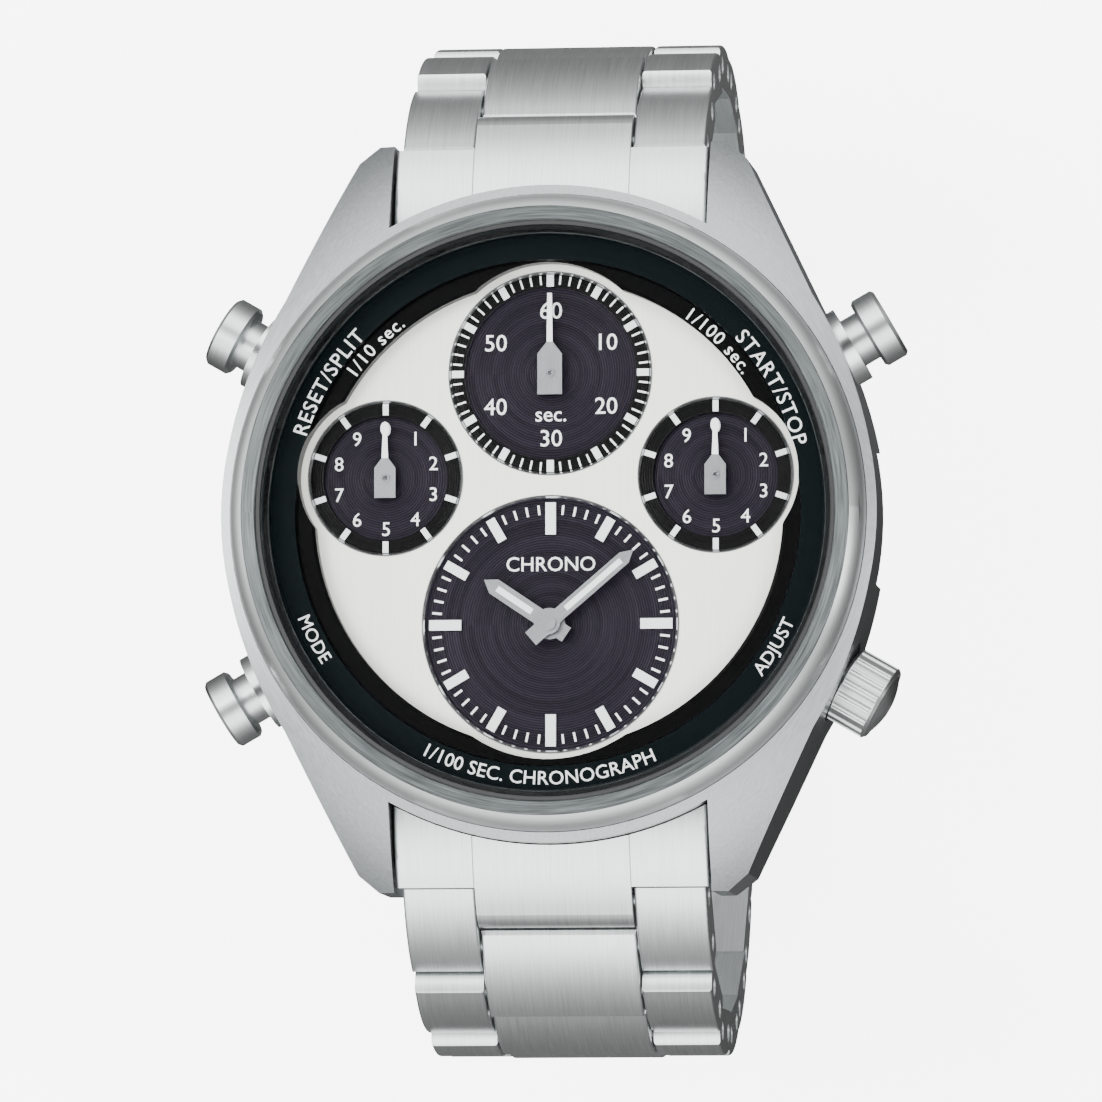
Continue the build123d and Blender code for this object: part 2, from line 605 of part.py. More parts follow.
def train_bridge():
    plate = cyl(CAVITY_RADIUS - 0.95, 3.5, 4.2)
    x, y = cell_place()
    plate = plate - cyl(4.95, 0, 20, x, y)
    for room in coil_room(0.2):
        plate = plate - room
    for x, y in (SECONDS_PIVOT, TENTHS_PIVOT, HUNDREDTHS_PIVOT, TIME_PIVOT):
        plate = plate - cyl(ARBOR_RADIUS + 0.1, 0, 20, x, y)
    return plate


def circuit_board():
    board = cyl(CAVITY_RADIUS - 1.4, 2.6, 3.0)
    x, y = cell_place()
    board = board - cyl(4.95, 0, 20, x, y)
    chip = Pos(3.6, 4.0, 3.2) * Box(3.0, 3.0, 0.4)
    crystal_can = Pos(7.5, 0.8, 3.25) * Rot(0, 90, 0) * Cylinder(0.25, 2.6)
    return board + chip + crystal_can


def button_cell():
    x, y = cell_place()
    can = cyl(4.75, 1.9, 3.9, x, y)
    cap = cyl(4.1, 1.65, 1.9, x, y)
    return can + cap


# ---- pushers and crown -------------------------------------------------------------
def pusher(angle):
    """Button with a broad cap, a neck in its tube and a thin stem into the movement."""
    base = PUSHER_REACH - PUSHER_CAP_THICKNESS
    cap = radial_cyl(angle, PUSHER_CAP_RADIUS, base, PUSHER_REACH)
    cap = chamfer(cap.edges().filter_by(GeomType.CIRCLE), 0.2)
    neck = radial_cyl(angle, PUSHER_NECK_RADIUS, CAVITY_RADIUS + 1.9, base + 0.1)
    stem = radial_cyl(angle, PUSHER_STEM_RADIUS, CAVITY_RADIUS - 0.9, CAVITY_RADIUS + 2.0)
    return cap + neck + stem


def crown():
    """Fluted crown with a low domed end and a hollow for the stem tube."""
    start = CASE_RADIUS + CROWN_GAP
    end = start + CROWN_LENGTH
    body = Cylinder(CROWN_RADIUS, CROWN_LENGTH, align=(Align.CENTER, Align.CENTER, Align.MIN))
    body = chamfer(body.edges().filter_by(GeomType.CIRCLE), 0.2)
    for k in range(CROWN_FLUTES):
        flute = Pos(CROWN_RADIUS + 0.12, 0, CROWN_LENGTH / 2) * Cylinder(0.3, CROWN_LENGTH - 0.5)
        body = body - Rot(0, 0, k * 360 / CROWN_FLUTES) * flute
    face_radius = CROWN_RADIUS - 0.4
    curve = (face_radius**2 + CROWN_DOME**2) / (2 * CROWN_DOME)
    ball = Pos(0, 0, CROWN_DOME - curve) * Sphere(curve)
    dome = ball & Cylinder(face_radius, CROWN_DOME, align=(Align.CENTER, Align.CENTER, Align.MIN))
    body = body + Pos(0, 0, CROWN_LENGTH) * dome
    body = body - Cylinder(STEM_RADIUS + 3 * TUBE_WALL, 2.4, align=(Align.CENTER, Align.CENTER, Align.MIN))
    body = body - Cylinder(STEM_RADIUS, 2.8, align=(Align.CENTER, Align.CENTER, Align.MIN))
    return radial(CROWN_ANGLE) * Pos(start, 0, 0) * Rot(0, 90, 0) * body


def winding_stem():
    rod = radial_cyl(CROWN_ANGLE, STEM_RADIUS, CAVITY_RADIUS - 7.0, CASE_RADIUS + CROWN_GAP + 2.8)
    groove = radial_cyl(CROWN_ANGLE, STEM_RADIUS + 1, CAVITY_RADIUS - 4.6, CAVITY_RADIUS - 4.1)
    waist = radial_cyl(CROWN_ANGLE, 0.35, CAVITY_RADIUS - 4.7, CAVITY_RADIUS - 4.0)
    return rod - groove + waist


def setting_lever():
    """Forked plate that rides in the stem's groove and follows it in and out."""
    place = radial(CROWN_ANGLE) * Pos(CAVITY_RADIUS - 4.35, 0, 0)
    plate = place * Box(0.4, 2.4, 1.7)
    slot = radial_cyl(CROWN_ANGLE, 0.4, CAVITY_RADIUS - 6, CAVITY_RADIUS - 3)
    mouth = place * Pos(0, 0, -0.6) * Box(1, 0.8, 1.2)
    return plate - slot - mouth


# ---- end links -------------------------------------------------------------------
def end_link_curve():
    """Where the end link's top curve runs into its round nose, and its slope there."""
    along = FIRST_HINGE_Y - END_LINK_START
    above = END_LINK_TOP - FIRST_HINGE_Z
    radius = (along**2 + above**2 - LINK_END_RADIUS**2) / (2 * (above - LINK_END_RADIUS))
    slope = math.asin(along / (radius - LINK_END_RADIUS))
    meet = (END_LINK_START + radius * math.sin(slope), END_LINK_TOP - radius * (1 - math.cos(slope)))
    return radius, slope, meet


def end_link_outline():
    """Side outline of the end link: level beside the bezel, then curving down to the hinge."""
    radius, slope, meet = end_link_curve()
    start = (END_LINK_START, END_LINK_TOP)
    halfway = (
        END_LINK_START + radius * math.sin(slope / 2),
        END_LINK_TOP - radius * (1 - math.cos(slope / 2)),
    )
    far = FIRST_HINGE_Y + 3
    rest = Polyline(
        meet,
        (far, meet[1] - (far - meet[0]) * math.tan(slope)),
        (far, FIRST_HINGE_Z - 1.7),
        (FIRST_HINGE_Y - 0.4, FIRST_HINGE_Z - 1.7),
        (SPRING_BAR_Y + 1.2, SPRING_BAR_Z - 1.25),
        (END_LINK_START, SPRING_BAR_Z - 1.25),
        start,
    )
    return make_face([Plane.YZ * edge for edge in (ThreePointArc(start, halfway, meet), rest)])


def side_block(low_y, high_y, low_z, high_z, low_x, high_x):
    """A square block on both sides of the bracelet's middle."""
    middle = ((low_x + high_x) / 2, (low_y + high_y) / 2, (low_z + high_z) / 2)
    block = Pos(*middle) * Box(high_x - low_x, high_y - low_y, high_z - low_z)
    return both_sides(block)


def end_link():
    """Solid end link at 12 o'clock: hugs the round case and carries the first hinge."""
    half = CENTRE_LINK_WIDTH / 2
    wide_half = LUG_GAP / 2 - END_LINK_SIDE_GAP
    near = LINK_END_RADIUS + LINK_END_GAP
    outline = end_link_outline()
    body = extrude(outline, wide_half, both=True)
    top_edges = body.edges().filter_by(GeomType.CIRCLE).filter_by(lambda edge: abs(edge.center().X) > half)
    body = fillet(top_edges, END_LINK_ROUND)
    body = body - Pos(0, FIRST_HINGE_Y + 5, 5) * Box(30, 10, 30)
    cuts = side_block(FIRST_HINGE_Y - 0.6, FIRST_HINGE_Y + 2, -5, 15, half, 12)
    cuts += side_block(FIRST_HINGE_Y - near, FIRST_HINGE_Y, -5, FIRST_HINGE_Z, half, 12)
    cuts += both_sides(cross_pin(near, half, 12, FIRST_HINGE_Y, FIRST_HINGE_Z))
    for cut in cuts:
        body = body - cut
    nose = cross_pin(LINK_END_RADIUS, -half, half, FIRST_HINGE_Y, FIRST_HINGE_Z)
    hood_length = end_link_curve()[2][0] - FIRST_HINGE_Y
    hood = Pos(0, FIRST_HINGE_Y + hood_length / 2, FIRST_HINGE_Z + 2) * Box(2 * half, hood_length, 4)
    body = body + ((nose + hood) & extrude(outline, half, both=True))
    lowered = extrude(Pos(0, 0, -SEAM_DEPTH) * outline, 12, both=True)
    for seam in side_block(CASE_RADIUS - 4, FIRST_HINGE_Y - 0.6, 5, 12, half, half + SEAM_WIDTH):
        body = body - (seam - lowered)
    body = body - cross_pin(PIN_RADIUS + PIN_BORE_GAP, -12, 12, FIRST_HINGE_Y, FIRST_HINGE_Z)
    body = body - cross_pin(SPRING_BAR_RADIUS + RUNNING_GAP, -12, 12, SPRING_BAR_Y, SPRING_BAR_Z)
    room = turned(case_outline(CASE_FIT) + [(0, CASE_SHOULDER + CASE_FIT), (0, CASE_UNDERSIDE - CASE_FIT)])
    above = cyl(CASE_RADIUS + CASE_FIT, CASE_SHOULDER - 1.0, CASE_SHOULDER + 4)
    return body - room - above


def lug_spring_bars():
    bars = []
    reach = LUG_GAP / 2 + SPRING_BAR_ENTRY
    for side in (-1, 1):
        bar = cross_pin(SPRING_BAR_RADIUS, -LUG_GAP / 2 + 0.15, LUG_GAP / 2 - 0.15, side * SPRING_BAR_Y, SPRING_BAR_Z)
        tips = cross_pin(SPRING_BAR_RADIUS - 0.25, -reach, reach, side * SPRING_BAR_Y, SPRING_BAR_Z)
        bars.append(bar + tips)
    return bars


# ---- bracelet links ------------------------------------------------------------------
def link_width(k):
    """The bracelet narrows evenly from the case to the clasp."""
    return BRACELET_WIDTH + (CLASP_WIDTH - BRACELET_WIDTH) * k / len(INCLINES_12)


def round_nose(end, direction):
    """Side outline of a link piece: round about its hinge, crowned on the outside."""
    half = LINK_THICKNESS / 2
    shoulder = half - LINK_CROWN
    near = math.sqrt(LINK_END_RADIUS**2 - shoulder**2)
    back = math.sqrt(LINK_END_RADIUS**2 - half**2)
    cut = LINK_CHAMFER
    top_near = (-near * direction, shoulder)
    top_far = (end - cut * direction, shoulder)
    crest = ((end - (near + cut) * direction) / 2, half)
    nose = ThreePointArc((-back * direction, -half), (-LINK_END_RADIUS * direction, 0), top_near)
    crown_face = ThreePointArc(top_near, crest, top_far)
    rest = Polyline(
        top_far,
        (end, shoulder - cut),
        (end, -half + cut),
        (end - cut * direction, -half),
        (-back * direction, -half),
    )
    return make_face([Plane.YZ * edge for edge in (nose, crown_face, rest)])


def eased(piece):
    """Round the long top edges of a link piece, along its crowned face."""
    crown = LINK_THICKNESS / 2 - LINK_CROWN
    edges = piece.edges().filter_by(GeomType.CIRCLE).filter_by(lambda edge: edge.center().Z > crown)
    return fillet(edges, LINK_EDGE_ROUND)


def link(k):
    """One bracelet link with its hinge at the origin, running along +Y, outside up."""
    half = CENTRE_LINK_WIDTH / 2
    inner = half + LINK_SIDE_GAP
    outer = link_width(k) / 2
    hold = PIN_RADIUS + PIN_HOLD_GAP
    pin_end = outer - PIN_INSET
    side_face = round_nose(0.75 * LINK_PITCH - LINK_END_GAP, 1)
    side = Pos((inner + outer) / 2, 0, 0) * eased(extrude(side_face, (outer - inner) / 2, both=True))
    side = side - cross_pin(hold, 0, 20) - cross_pin(hold, 0, 20, LINK_PITCH / 2)
    middle_face = round_nose(-0.75 * LINK_PITCH + LINK_END_GAP, -1)
    middle = Pos(0, LINK_PITCH, 0) * eased(extrude(middle_face, half, both=True))
    middle = middle - cross_pin(hold, -20, 20, LINK_PITCH / 2)
    middle = middle - cross_pin(PIN_RADIUS + PIN_BORE_GAP, -20, 20, LINK_PITCH)
    pins = [cross_pin(PIN_RADIUS, -pin_end, pin_end), cross_pin(PIN_RADIUS, -pin_end, pin_end, LINK_PITCH / 2)]
    return both_sides(side) + [middle] + pins


def chain_points(inclines):
    """Hinge points (y, z) of one half, from the end link to the clasp."""
    y, z = FIRST_HINGE_Y, FIRST_HINGE_Z
    points = [(y, z)]
    for incline in inclines:
        y += LINK_PITCH * math.cos(math.radians(incline))
        z -= LINK_PITCH * math.sin(math.radians(incline))
        points.append((y, z))
    return points


def chain(inclines, half_turn):
    """The six links of one half, each set at its own incline."""
    links = []
    for k, (point, incline) in enumerate(zip(chain_points(inclines), inclines)):
        place = Rot(0, 0, half_turn) * Pos(0, point[0], point[1]) * Rot(-incline, 0, 0)
        links.append([place * piece for piece in link(k)])
    return links


# ---- folding clasp: three curved leaves about one centre of curvature ---------------------
def clasp_geometry():
    """Centre of curvature, half angle and tilt of the clasp between its two end pivots."""
    left = chain_points(INCLINES_12)[-1]
    mirrored = chain_points(INCLINES_6)[-1]
    right = (-mirrored[0], mirrored[1])
    span = math.dist(left, right)
    tilt = math.atan2(left[1] - right[1], left[0] - right[0])
    rise = math.sqrt(CLASP_CURVE**2 - span**2 / 4)
    centre_y = (left[0] + right[0]) / 2 - rise * math.sin(tilt)
    centre_z = (left[1] + right[1]) / 2 + rise * math.cos(tilt)
    return (centre_y, centre_z), math.asin(span / 2 / CLASP_CURVE), tilt


def clasp_point(offset, along):
    """A point at a height off the pivot curve, a length along it from the middle to 12."""
    (centre_y, centre_z), _, tilt = clasp_geometry()
    angle = along / CLASP_CURVE + tilt
    radius = CLASP_CURVE + offset
    return (centre_y + radius * math.sin(angle), centre_z - radius * math.cos(angle))


def leaf(low, high, start, end, half_width, x=0.0):
    """A curved strip between two offsets and two lengths along the clasp."""
    middle = (start + end) / 2
    inside = ThreePointArc(clasp_point(low, start), clasp_point(low, middle), clasp_point(low, end))
    outside = ThreePointArc(clasp_point(high, end), clasp_point(high, middle), clasp_point(high, start))
    first = Line(clasp_point(low, end), clasp_point(high, end))
    last = Line(clasp_point(high, start), clasp_point(low, start))
    face = make_face([Plane.YZ * edge for edge in (inside, first, outside, last)])
    return Pos(x, 0, 0) * extrude(face, half_width, both=True)


def paired_leaf(low, high, start, end, inner_x, outer_x):
    """The same curved strip on both sides of the clasp."""
    return both_sides(leaf(low, high, start, end, (outer_x - inner_x) / 2, (outer_x + inner_x) / 2))


def clasp_reach():
    """Length along the curve from the middle to either end pivot."""
    return CLASP_CURVE * clasp_geometry()[1]


def fold_pivot():
    return -clasp_reach() + 6.5


def cover_pivot():
    return clasp_reach() - 6.0


def pivot_disc(offset, along, radius, low_x, high_x):
    y, z = clasp_point(offset, along)
    return cross_pin(radius, low_x, high_x, y, z)


def clasp_inner_blade():
    """Leaf next to the wrist, held by the last link at 12."""
    reach = clasp_reach()
    half = INNER_BLADE_WIDTH / 2
    ear = CENTRE_LINK_WIDTH / 2 + LINK_SIDE_GAP
    knuckle = KNUCKLE_WIDTH / 2 + 0.1
    fold = fold_pivot()
    clear = FOLD_PIVOT_RADIUS + 0.15
    blade = leaf(INNER_INNER, INNER_OUTER, fold + clear, reach - END_CLEAR, half)
    for side in paired_leaf(INNER_INNER, INNER_OUTER, reach - END_CLEAR - 1, reach, ear, half):
        blade = blade + side
    for side in paired_leaf(INNER_INNER + 0.1, INNER_OUTER, fold, fold + clear + 1, knuckle, half):
        blade = blade + side
    for sign in (-1, 1):
        low_x, high_x = sorted((sign * ear, sign * half))
        blade = blade + pivot_disc(-0.3, reach, 1.5, low_x, high_x)
        low_x, high_x = sorted((sign * knuckle, sign * half))
        blade = blade + pivot_disc(-1.0, fold, FOLD_PIVOT_RADIUS, low_x, high_x)
    blade = blade - pivot_disc(0, reach, PIN_RADIUS + PIN_HOLD_GAP, -20, 20)
    blade = blade - pivot_disc(-1.0, fold, 0.5 + PIN_HOLD_GAP, -20, 20)
    pins = [pivot_disc(0, reach, PIN_RADIUS, -half + 0.2, half - 0.2), pivot_disc(-1.0, fold, 0.5, -half + 0.2, half - 0.2)]
    return [blade] + pins


def clasp_middle_blade():
    """Leaf that folds between the other two."""
    half = MIDDLE_BLADE_WIDTH / 2
    knuckle = KNUCKLE_WIDTH / 2
    fold = fold_pivot()
    cover = cover_pivot()
    blade = leaf(MIDDLE_INNER, MIDDLE_OUTER, fold + FOLD_PIVOT_RADIUS + 0.6, cover - COVER_PIVOT_RADIUS - 0.4, half)
    blade = blade - leaf(-2, 2, fold + 7, cover - 7, 2.2)
    blade = blade + leaf(MIDDLE_INNER, MIDDLE_OUTER, fold, fold + 3, knuckle)
    blade = blade + leaf(MIDDLE_INNER, MIDDLE_OUTER, cover - 3, cover, knuckle)
    blade = blade + pivot_disc(-1.0, fold, FOLD_PIVOT_RADIUS, -knuckle, knuckle)
    blade = blade + pivot_disc(-0.35, cover, COVER_PIVOT_RADIUS - 0.05, -knuckle, knuckle)
    blade = blade - pivot_disc(-1.0, fold, 0.5 + RUNNING_GAP, -20, 20)
    return blade - pivot_disc(-0.35, cover, 0.4 + RUNNING_GAP, -20, 20)


def clasp_cover():
    """Outer leaf with side walls, sprung-bar ears at 6 and windows for the buttons."""
    reach = clasp_reach()
    half = CLASP_WIDTH / 2
    wall = half - 1.1
    ear = CENTRE_LINK_WIDTH / 2 + LINK_SIDE_GAP + 0.07
    cover = cover_pivot()
    body = leaf(COVER_INNER, COVER_OUTER, -reach + END_CLEAR, reach - END_CLEAR, half)
    for side in paired_leaf(-1.0, COVER_INNER, -reach + END_CLEAR, reach - END_CLEAR, wall, half):
        body = body + side
    for side in paired_leaf(-1.0, 1.2, -reach, -reach + END_CLEAR + 1, ear, half):
        body = body + side
    for side in paired_leaf(-1.0, 1.2, -reach + END_CLEAR, -reach + END_CLEAR + 1.2, ear, half):
        body = body + side
    knuckle = KNUCKLE_WIDTH / 2 + 0.1
    for side in paired_leaf(-0.35, COVER_INNER, cover - COVER_PIVOT_RADIUS + 0.05, cover + COVER_PIVOT_RADIUS - 0.05, knuckle, half - 1.2):
        body = body + side
    for sign in (-1, 1):
        low_x, high_x = sorted((sign * ear, sign * half))
        body = body + pivot_disc(0, -reach, 1.55, low_x, high_x)
        low_x, high_x = sorted((sign * knuckle, sign * half - sign * 1.2))
        body = body + pivot_disc(-0.35, cover, COVER_PIVOT_RADIUS - 0.05, low_x, high_x)
    body = body - pivot_disc(0, -reach, PIN_RADIUS + RUNNING_GAP, -20, 20)
    body = body - pivot_disc(-0.35, cover, 0.4 + PIN_HOLD_GAP, -half + 1.3, half - 1.3)
    for window in paired_leaf(-0.75, 0.25, cover - 7.2, cover - 3.8, wall - 1, half + 1):
        body = body - window
    pin = pivot_disc(-0.35, cover, 0.4, -half + 1.4, half - 1.4)
    return [body, pin]


def clasp_button(sign):
    """Sprung release button in the clasp's side wall."""
    half = CLASP_WIDTH / 2
    cover = cover_pivot()
    shank = leaf(-0.7, 0.2, cover - 7.1, cover - 3.9, (half - 6.9 + 0.7) / 2, (half + 6.9 + 0.7) / 2)
    head = leaf(-0.7, 0.75, cover - 7.5, cover - 3.5, 0.25, half + BUTTON_TRAVEL + 0.35)
    button = shank + head
    return button if sign > 0 else mirror(button, about=Plane.YZ)


def clasp_spring_bar():
    """Sprung bar in the last link at 6, drawn with its tips pushed in."""
    y, z = clasp_point(0, -clasp_reach())
    half = CENTRE_LINK_WIDTH / 2 - 0.05
    return cross_pin(PIN_RADIUS, -half, half, y, z)


# ---- write every node --------------------------------------------------------------------
os.makedirs("parts", exist_ok=True)
save("case_middle", case_middle())
save("case_tubes", case_tubes())
save("bezel", bezel())
save("crystal", crystal())
save("crystal_gasket", crystal_gasket())
save("caseback", caseback())
save("caseback_gasket", caseback_gasket())
save("dial_plate", dial_plate())
save("dial_flange", dial_flange())
save("seconds_subdial", ringed_subdial(SECONDS_PIVOT, SECONDS_RADIUS, 1.05))
save("tenths_subdial", ringed_subdial(TENTHS_PIVOT, SMALL_DIAL_RADIUS, 1.0))
save("hundredths_subdial", ringed_subdial(HUNDREDTHS_PIVOT, SMALL_DIAL_RADIUS, 1.0))
save("time_subdial", time_subdial())
save("subdial_rims", subdial_rims())
save("subdial_markers", subdial_markers())
save("hour_hand", hour_hand())
save("hour_wheel", hour_wheel())
save("minute_hand", minute_hand())
save("cannon_pinion", cannon_pinion())
save("minute_wheel", minute_wheel())
save("seconds_hand", seconds_hand())
save("seconds_wheel", counter_wheel(SECONDS_PIVOT))
save("tenths_hand", counter_hand(TENTHS_PIVOT))
save("tenths_wheel", counter_wheel(TENTHS_PIVOT))
save("hundredths_hand", counter_hand(HUNDREDTHS_PIVOT))
save("hundredths_wheel", counter_wheel(HUNDREDTHS_PIVOT))
save("movement_ring", movement_ring())
save("main_plate", main_plate())
save("stepping_motors", stepping_motors())
save("train_bridge", train_bridge())
save("circuit_board", circuit_board())
save("button_cell", button_cell())
for pusher_name, pusher_angle in PUSHER_ANGLES.items():
    save(f"pusher_{pusher_name}", pusher(pusher_angle))
save("crown", crown())
save("winding_stem", winding_stem())
save("setting_lever", setting_lever())
save("end_link_12", end_link())
save("end_link_6", Rot(0, 0, 180) * end_link())
save("lug_spring_bars", lug_spring_bars())
for number, pieces in enumerate(chain(INCLINES_12, 0), 1):
    save(f"link_12_{number}", pieces)
for number, pieces in enumerate(chain(INCLINES_6, 180), 1):
    save(f"link_6_{number}", pieces)
save("clasp_inner_blade", clasp_inner_blade())
save("clasp_middle_blade", clasp_middle_blade())
save("clasp_cover", clasp_cover())
save("clasp_button_right", clasp_button(1))
save("clasp_button_left", clasp_button(-1))
save("clasp_spring_bar", clasp_spring_bar())
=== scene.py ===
import math

import bmesh
import bpy
from mathutils import Matrix, Vector


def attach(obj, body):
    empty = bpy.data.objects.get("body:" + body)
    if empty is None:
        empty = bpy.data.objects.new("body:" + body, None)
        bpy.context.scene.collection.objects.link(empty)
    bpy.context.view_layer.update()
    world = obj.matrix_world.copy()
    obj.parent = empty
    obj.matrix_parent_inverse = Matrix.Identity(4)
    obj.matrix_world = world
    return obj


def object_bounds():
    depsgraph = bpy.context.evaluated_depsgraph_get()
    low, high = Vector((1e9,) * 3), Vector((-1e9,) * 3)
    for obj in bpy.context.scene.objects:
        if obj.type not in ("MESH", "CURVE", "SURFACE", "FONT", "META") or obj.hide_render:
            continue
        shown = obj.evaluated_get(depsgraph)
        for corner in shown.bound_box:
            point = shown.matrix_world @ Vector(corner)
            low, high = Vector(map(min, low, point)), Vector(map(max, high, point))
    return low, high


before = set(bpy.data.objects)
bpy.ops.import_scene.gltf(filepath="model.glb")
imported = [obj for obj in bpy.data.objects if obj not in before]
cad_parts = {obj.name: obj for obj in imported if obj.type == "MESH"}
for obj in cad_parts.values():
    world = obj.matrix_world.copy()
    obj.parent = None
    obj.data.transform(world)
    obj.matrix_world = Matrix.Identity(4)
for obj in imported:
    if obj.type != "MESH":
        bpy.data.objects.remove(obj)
cad_low, cad_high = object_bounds()
MM = 0.001

# ---- Case middle and caseback ------------------------------------------------
# The case middle is milled from stainless steel and its lugs are brushed slantwise
# along their outer edges. The caseback is turned from the same steel and screws in
# from behind.
CASE_GREY = "#B9BCBD"
CASE_GRAIN = 0.07 * MM
CASE_GRAIN_LENGTH = 2.2 * MM
LUG_GRAIN_ANGLE = math.radians(31)
BACK_RING_PITCH = 0.06 * MM
BACK_RING_LENGTH = 4 * MM
BACK_ARC = 3 * MM
LINE_DEPTH = 0.02 * MM
SRGB_KNEE = 0.04045
# The mix node's sockets by number, since its own names repeat.
MIX_FACTOR, FLOAT_A, FLOAT_B, COLOUR_A, COLOUR_B = 0, 2, 3, 6, 7
MIXED_FLOAT, MIXED_COLOUR = 0, 2


def linear(hex_colour):
    """An sRGB hex colour as linear red, green, blue and alpha."""
    parts = [int(hex_colour[k : k + 2], 16) / 255 for k in (1, 3, 5)]
    channels = [c / 12.92 if c <= SRGB_KNEE else ((c + 0.055) / 1.055) ** 2.4 for c in parts]
    return (*channels, 1.0)


def add(tree, kind, settings=None, links=None):
    """Add a node, set its properties or inputs, and link its inputs."""
    made = tree.nodes.new(kind)
    for name, value in (settings or {}).items():
        if isinstance(name, str) and hasattr(made, name):
            setattr(made, name, value)
        else:
            made.inputs[name].default_value = value
    for name, source in (links or {}).items():
        tree.links.new(source, made.inputs[name])
    return made


def finish_of(name, colour, metallic, roughness, **sockets):
    """A named material with its shader's own values set."""
    material = bpy.data.materials.new(name)
    material.use_nodes = True
    tree = material.node_tree
    shader = tree.nodes["Principled BSDF"]
    shader.inputs["Base Color"].default_value = linear(colour)
    shader.inputs["Metallic"].default_value = metallic
    shader.inputs["Roughness"].default_value = roughness
    for socket, value in sockets.items():
        shader.inputs[socket.replace("_", " ")].default_value = value
    return material, tree, shader


def spread_along(tree, shader, amount, direction):
    """Draw highlights out along a direction, square to the brushing lines."""
    shader.inputs["Anisotropic"].default_value = amount
    tree.links.new(direction, shader.inputs["Tangent"])


def fixed_direction(tree, x, y, z):
    """A direction as a socket."""
    return add(tree, "ShaderNodeCombineXYZ", {"X": x, "Y": y, "Z": z}).outputs["Vector"]


def object_place(tree):
    """The piece's own coordinates, in metres."""
    return add(tree, "ShaderNodeTexCoord").outputs["Object"]


def streaks(tree, place, scale, detail=3.0):
    """Noise drawn out into lines: scale is lines per metre along X, Y and Z."""
    spread = add(tree, "ShaderNodeMapping", {"vector_type": "POINT", "Scale": scale}, {"Vector": place})
    noise = add(
        tree,
        "ShaderNodeTexNoise",
        {"Scale": 1.0, "Detail": detail, "Roughness": 0.6},
        {"Vector": spread.outputs["Vector"]},
    )
    return noise.outputs["Fac"]


def two_tone(tree, shader, factor, low, high):
    """Let a pattern blend the base colour between two shades."""
    shade = add(
        tree,
        "ShaderNodeMix",
        {"data_type": "RGBA", COLOUR_A: linear(low), COLOUR_B: linear(high)},
        {MIX_FACTOR: factor},
    )
    tree.links.new(shade.outputs[MIXED_COLOUR], shader.inputs["Base Color"])


def vary_roughness(tree, shader, pattern, low, high):
    """Let a pattern move the roughness between two levels."""
    rough = add(tree, "ShaderNodeMapRange", {"To Min": low, "To Max": high}, {"Value": pattern})
    tree.links.new(rough.outputs["Result"], shader.inputs["Roughness"])


def raise_surface(tree, shader, pattern, strength, depth):
    """Let a pattern stand up from the surface by a small depth."""
    relief = add(tree, "ShaderNodeBump", {"Strength": strength, "Distance": depth}, {"Height": pattern})
    tree.links.new(relief.outputs["Normal"], shader.inputs["Normal"])


def brushing(tree, shader, lines, low_rough, high_rough, low_grey, high_grey, bump=0.12):
    """Let the lines vary roughness, shade and height, as an abrasive belt leaves them."""
    vary_roughness(tree, shader, lines, low_rough, high_rough)
    two_tone(tree, shader, lines, low_grey, high_grey)
    raise_surface(tree, shader, lines, bump, LINE_DEPTH)


def polar(tree, place, centre):
    """Distance from an upright axis and the turn about it, as two sockets."""
    moved = add(tree, "ShaderNodeVectorMath", {"operation": "SUBTRACT", 1: (*centre, 0.0)}, {0: place})
    split = add(tree, "ShaderNodeSeparateXYZ", {}, {"Vector": moved.outputs["Vector"]})
    flat = add(tree, "ShaderNodeCombineXYZ", {}, {"X": split.outputs["X"], "Y": split.outputs["Y"]})
    reach = add(tree, "ShaderNodeVectorMath", {"operation": "LENGTH"}, {0: flat.outputs["Vector"]})
    sides = {0: split.outputs["Y"], 1: split.outputs["X"]}
    turn = add(tree, "ShaderNodeMath", {"operation": "ARCTAN2"}, sides)
    return reach.outputs["Value"], turn.outputs["Value"]


def ring_place(tree, reach, turn, arc_scale):
    """Coordinates that follow circles: radius in metres, and turn shortened by arc_scale."""
    shorter = add(tree, "ShaderNodeMath", {"operation": "MULTIPLY", 1: arc_scale}, {0: turn})
    joined = add(tree, "ShaderNodeCombineXYZ", {}, {"X": reach, "Y": shorter.outputs["Value"]})
    return joined.outputs["Vector"]


def dress(material, *names):
    """Give CAD nodes a material."""
    for name in names:
        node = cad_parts[name]
        node.data.materials.clear()
        node.data.materials.append(material)


def slanting_brushed_steel():
    """Satin stainless steel with slanting lines, mirrored from lug to lug."""
    material, tree, shader = finish_of("brushed_stainless_case", CASE_GREY, 1.0, 0.34)
    place = object_place(tree)
    folded = add(tree, "ShaderNodeVectorMath", {"operation": "ABSOLUTE"}, {0: place})
    turned = add(
        tree,
        "ShaderNodeMapping",
        {"Rotation": (0, 0, -LUG_GRAIN_ANGLE)},
        {"Vector": folded.outputs["Vector"]},
    )
    lines = streaks(tree, turned.outputs["Vector"], (1 / CASE_GRAIN, 1 / CASE_GRAIN_LENGTH, 1 / CASE_GRAIN))
    brushing(tree, shader, lines, 0.27, 0.42, "#6C7072", "#A0A4A5", bump=0.2)
    return material


dress(slanting_brushed_steel(), "case_middle")


def turned_back_steel():
    """Lathe-turned steel: fine rings about the case axis, with a satin sheen."""
    material, tree, shader = finish_of("turned_stainless_back", CASE_GREY, 1.0, 0.32)
    reach, turn = polar(tree, object_place(tree), (0, 0))
    rings = ring_place(tree, reach, turn, BACK_ARC)
    lines = streaks(tree, rings, (1 / BACK_RING_PITCH, 1 / BACK_RING_LENGTH, 1))
    brushing(tree, shader, lines, 0.25, 0.4, "#A9ACAD", "#C6C9C9")
    return material


dress(turned_back_steel(), "caseback")

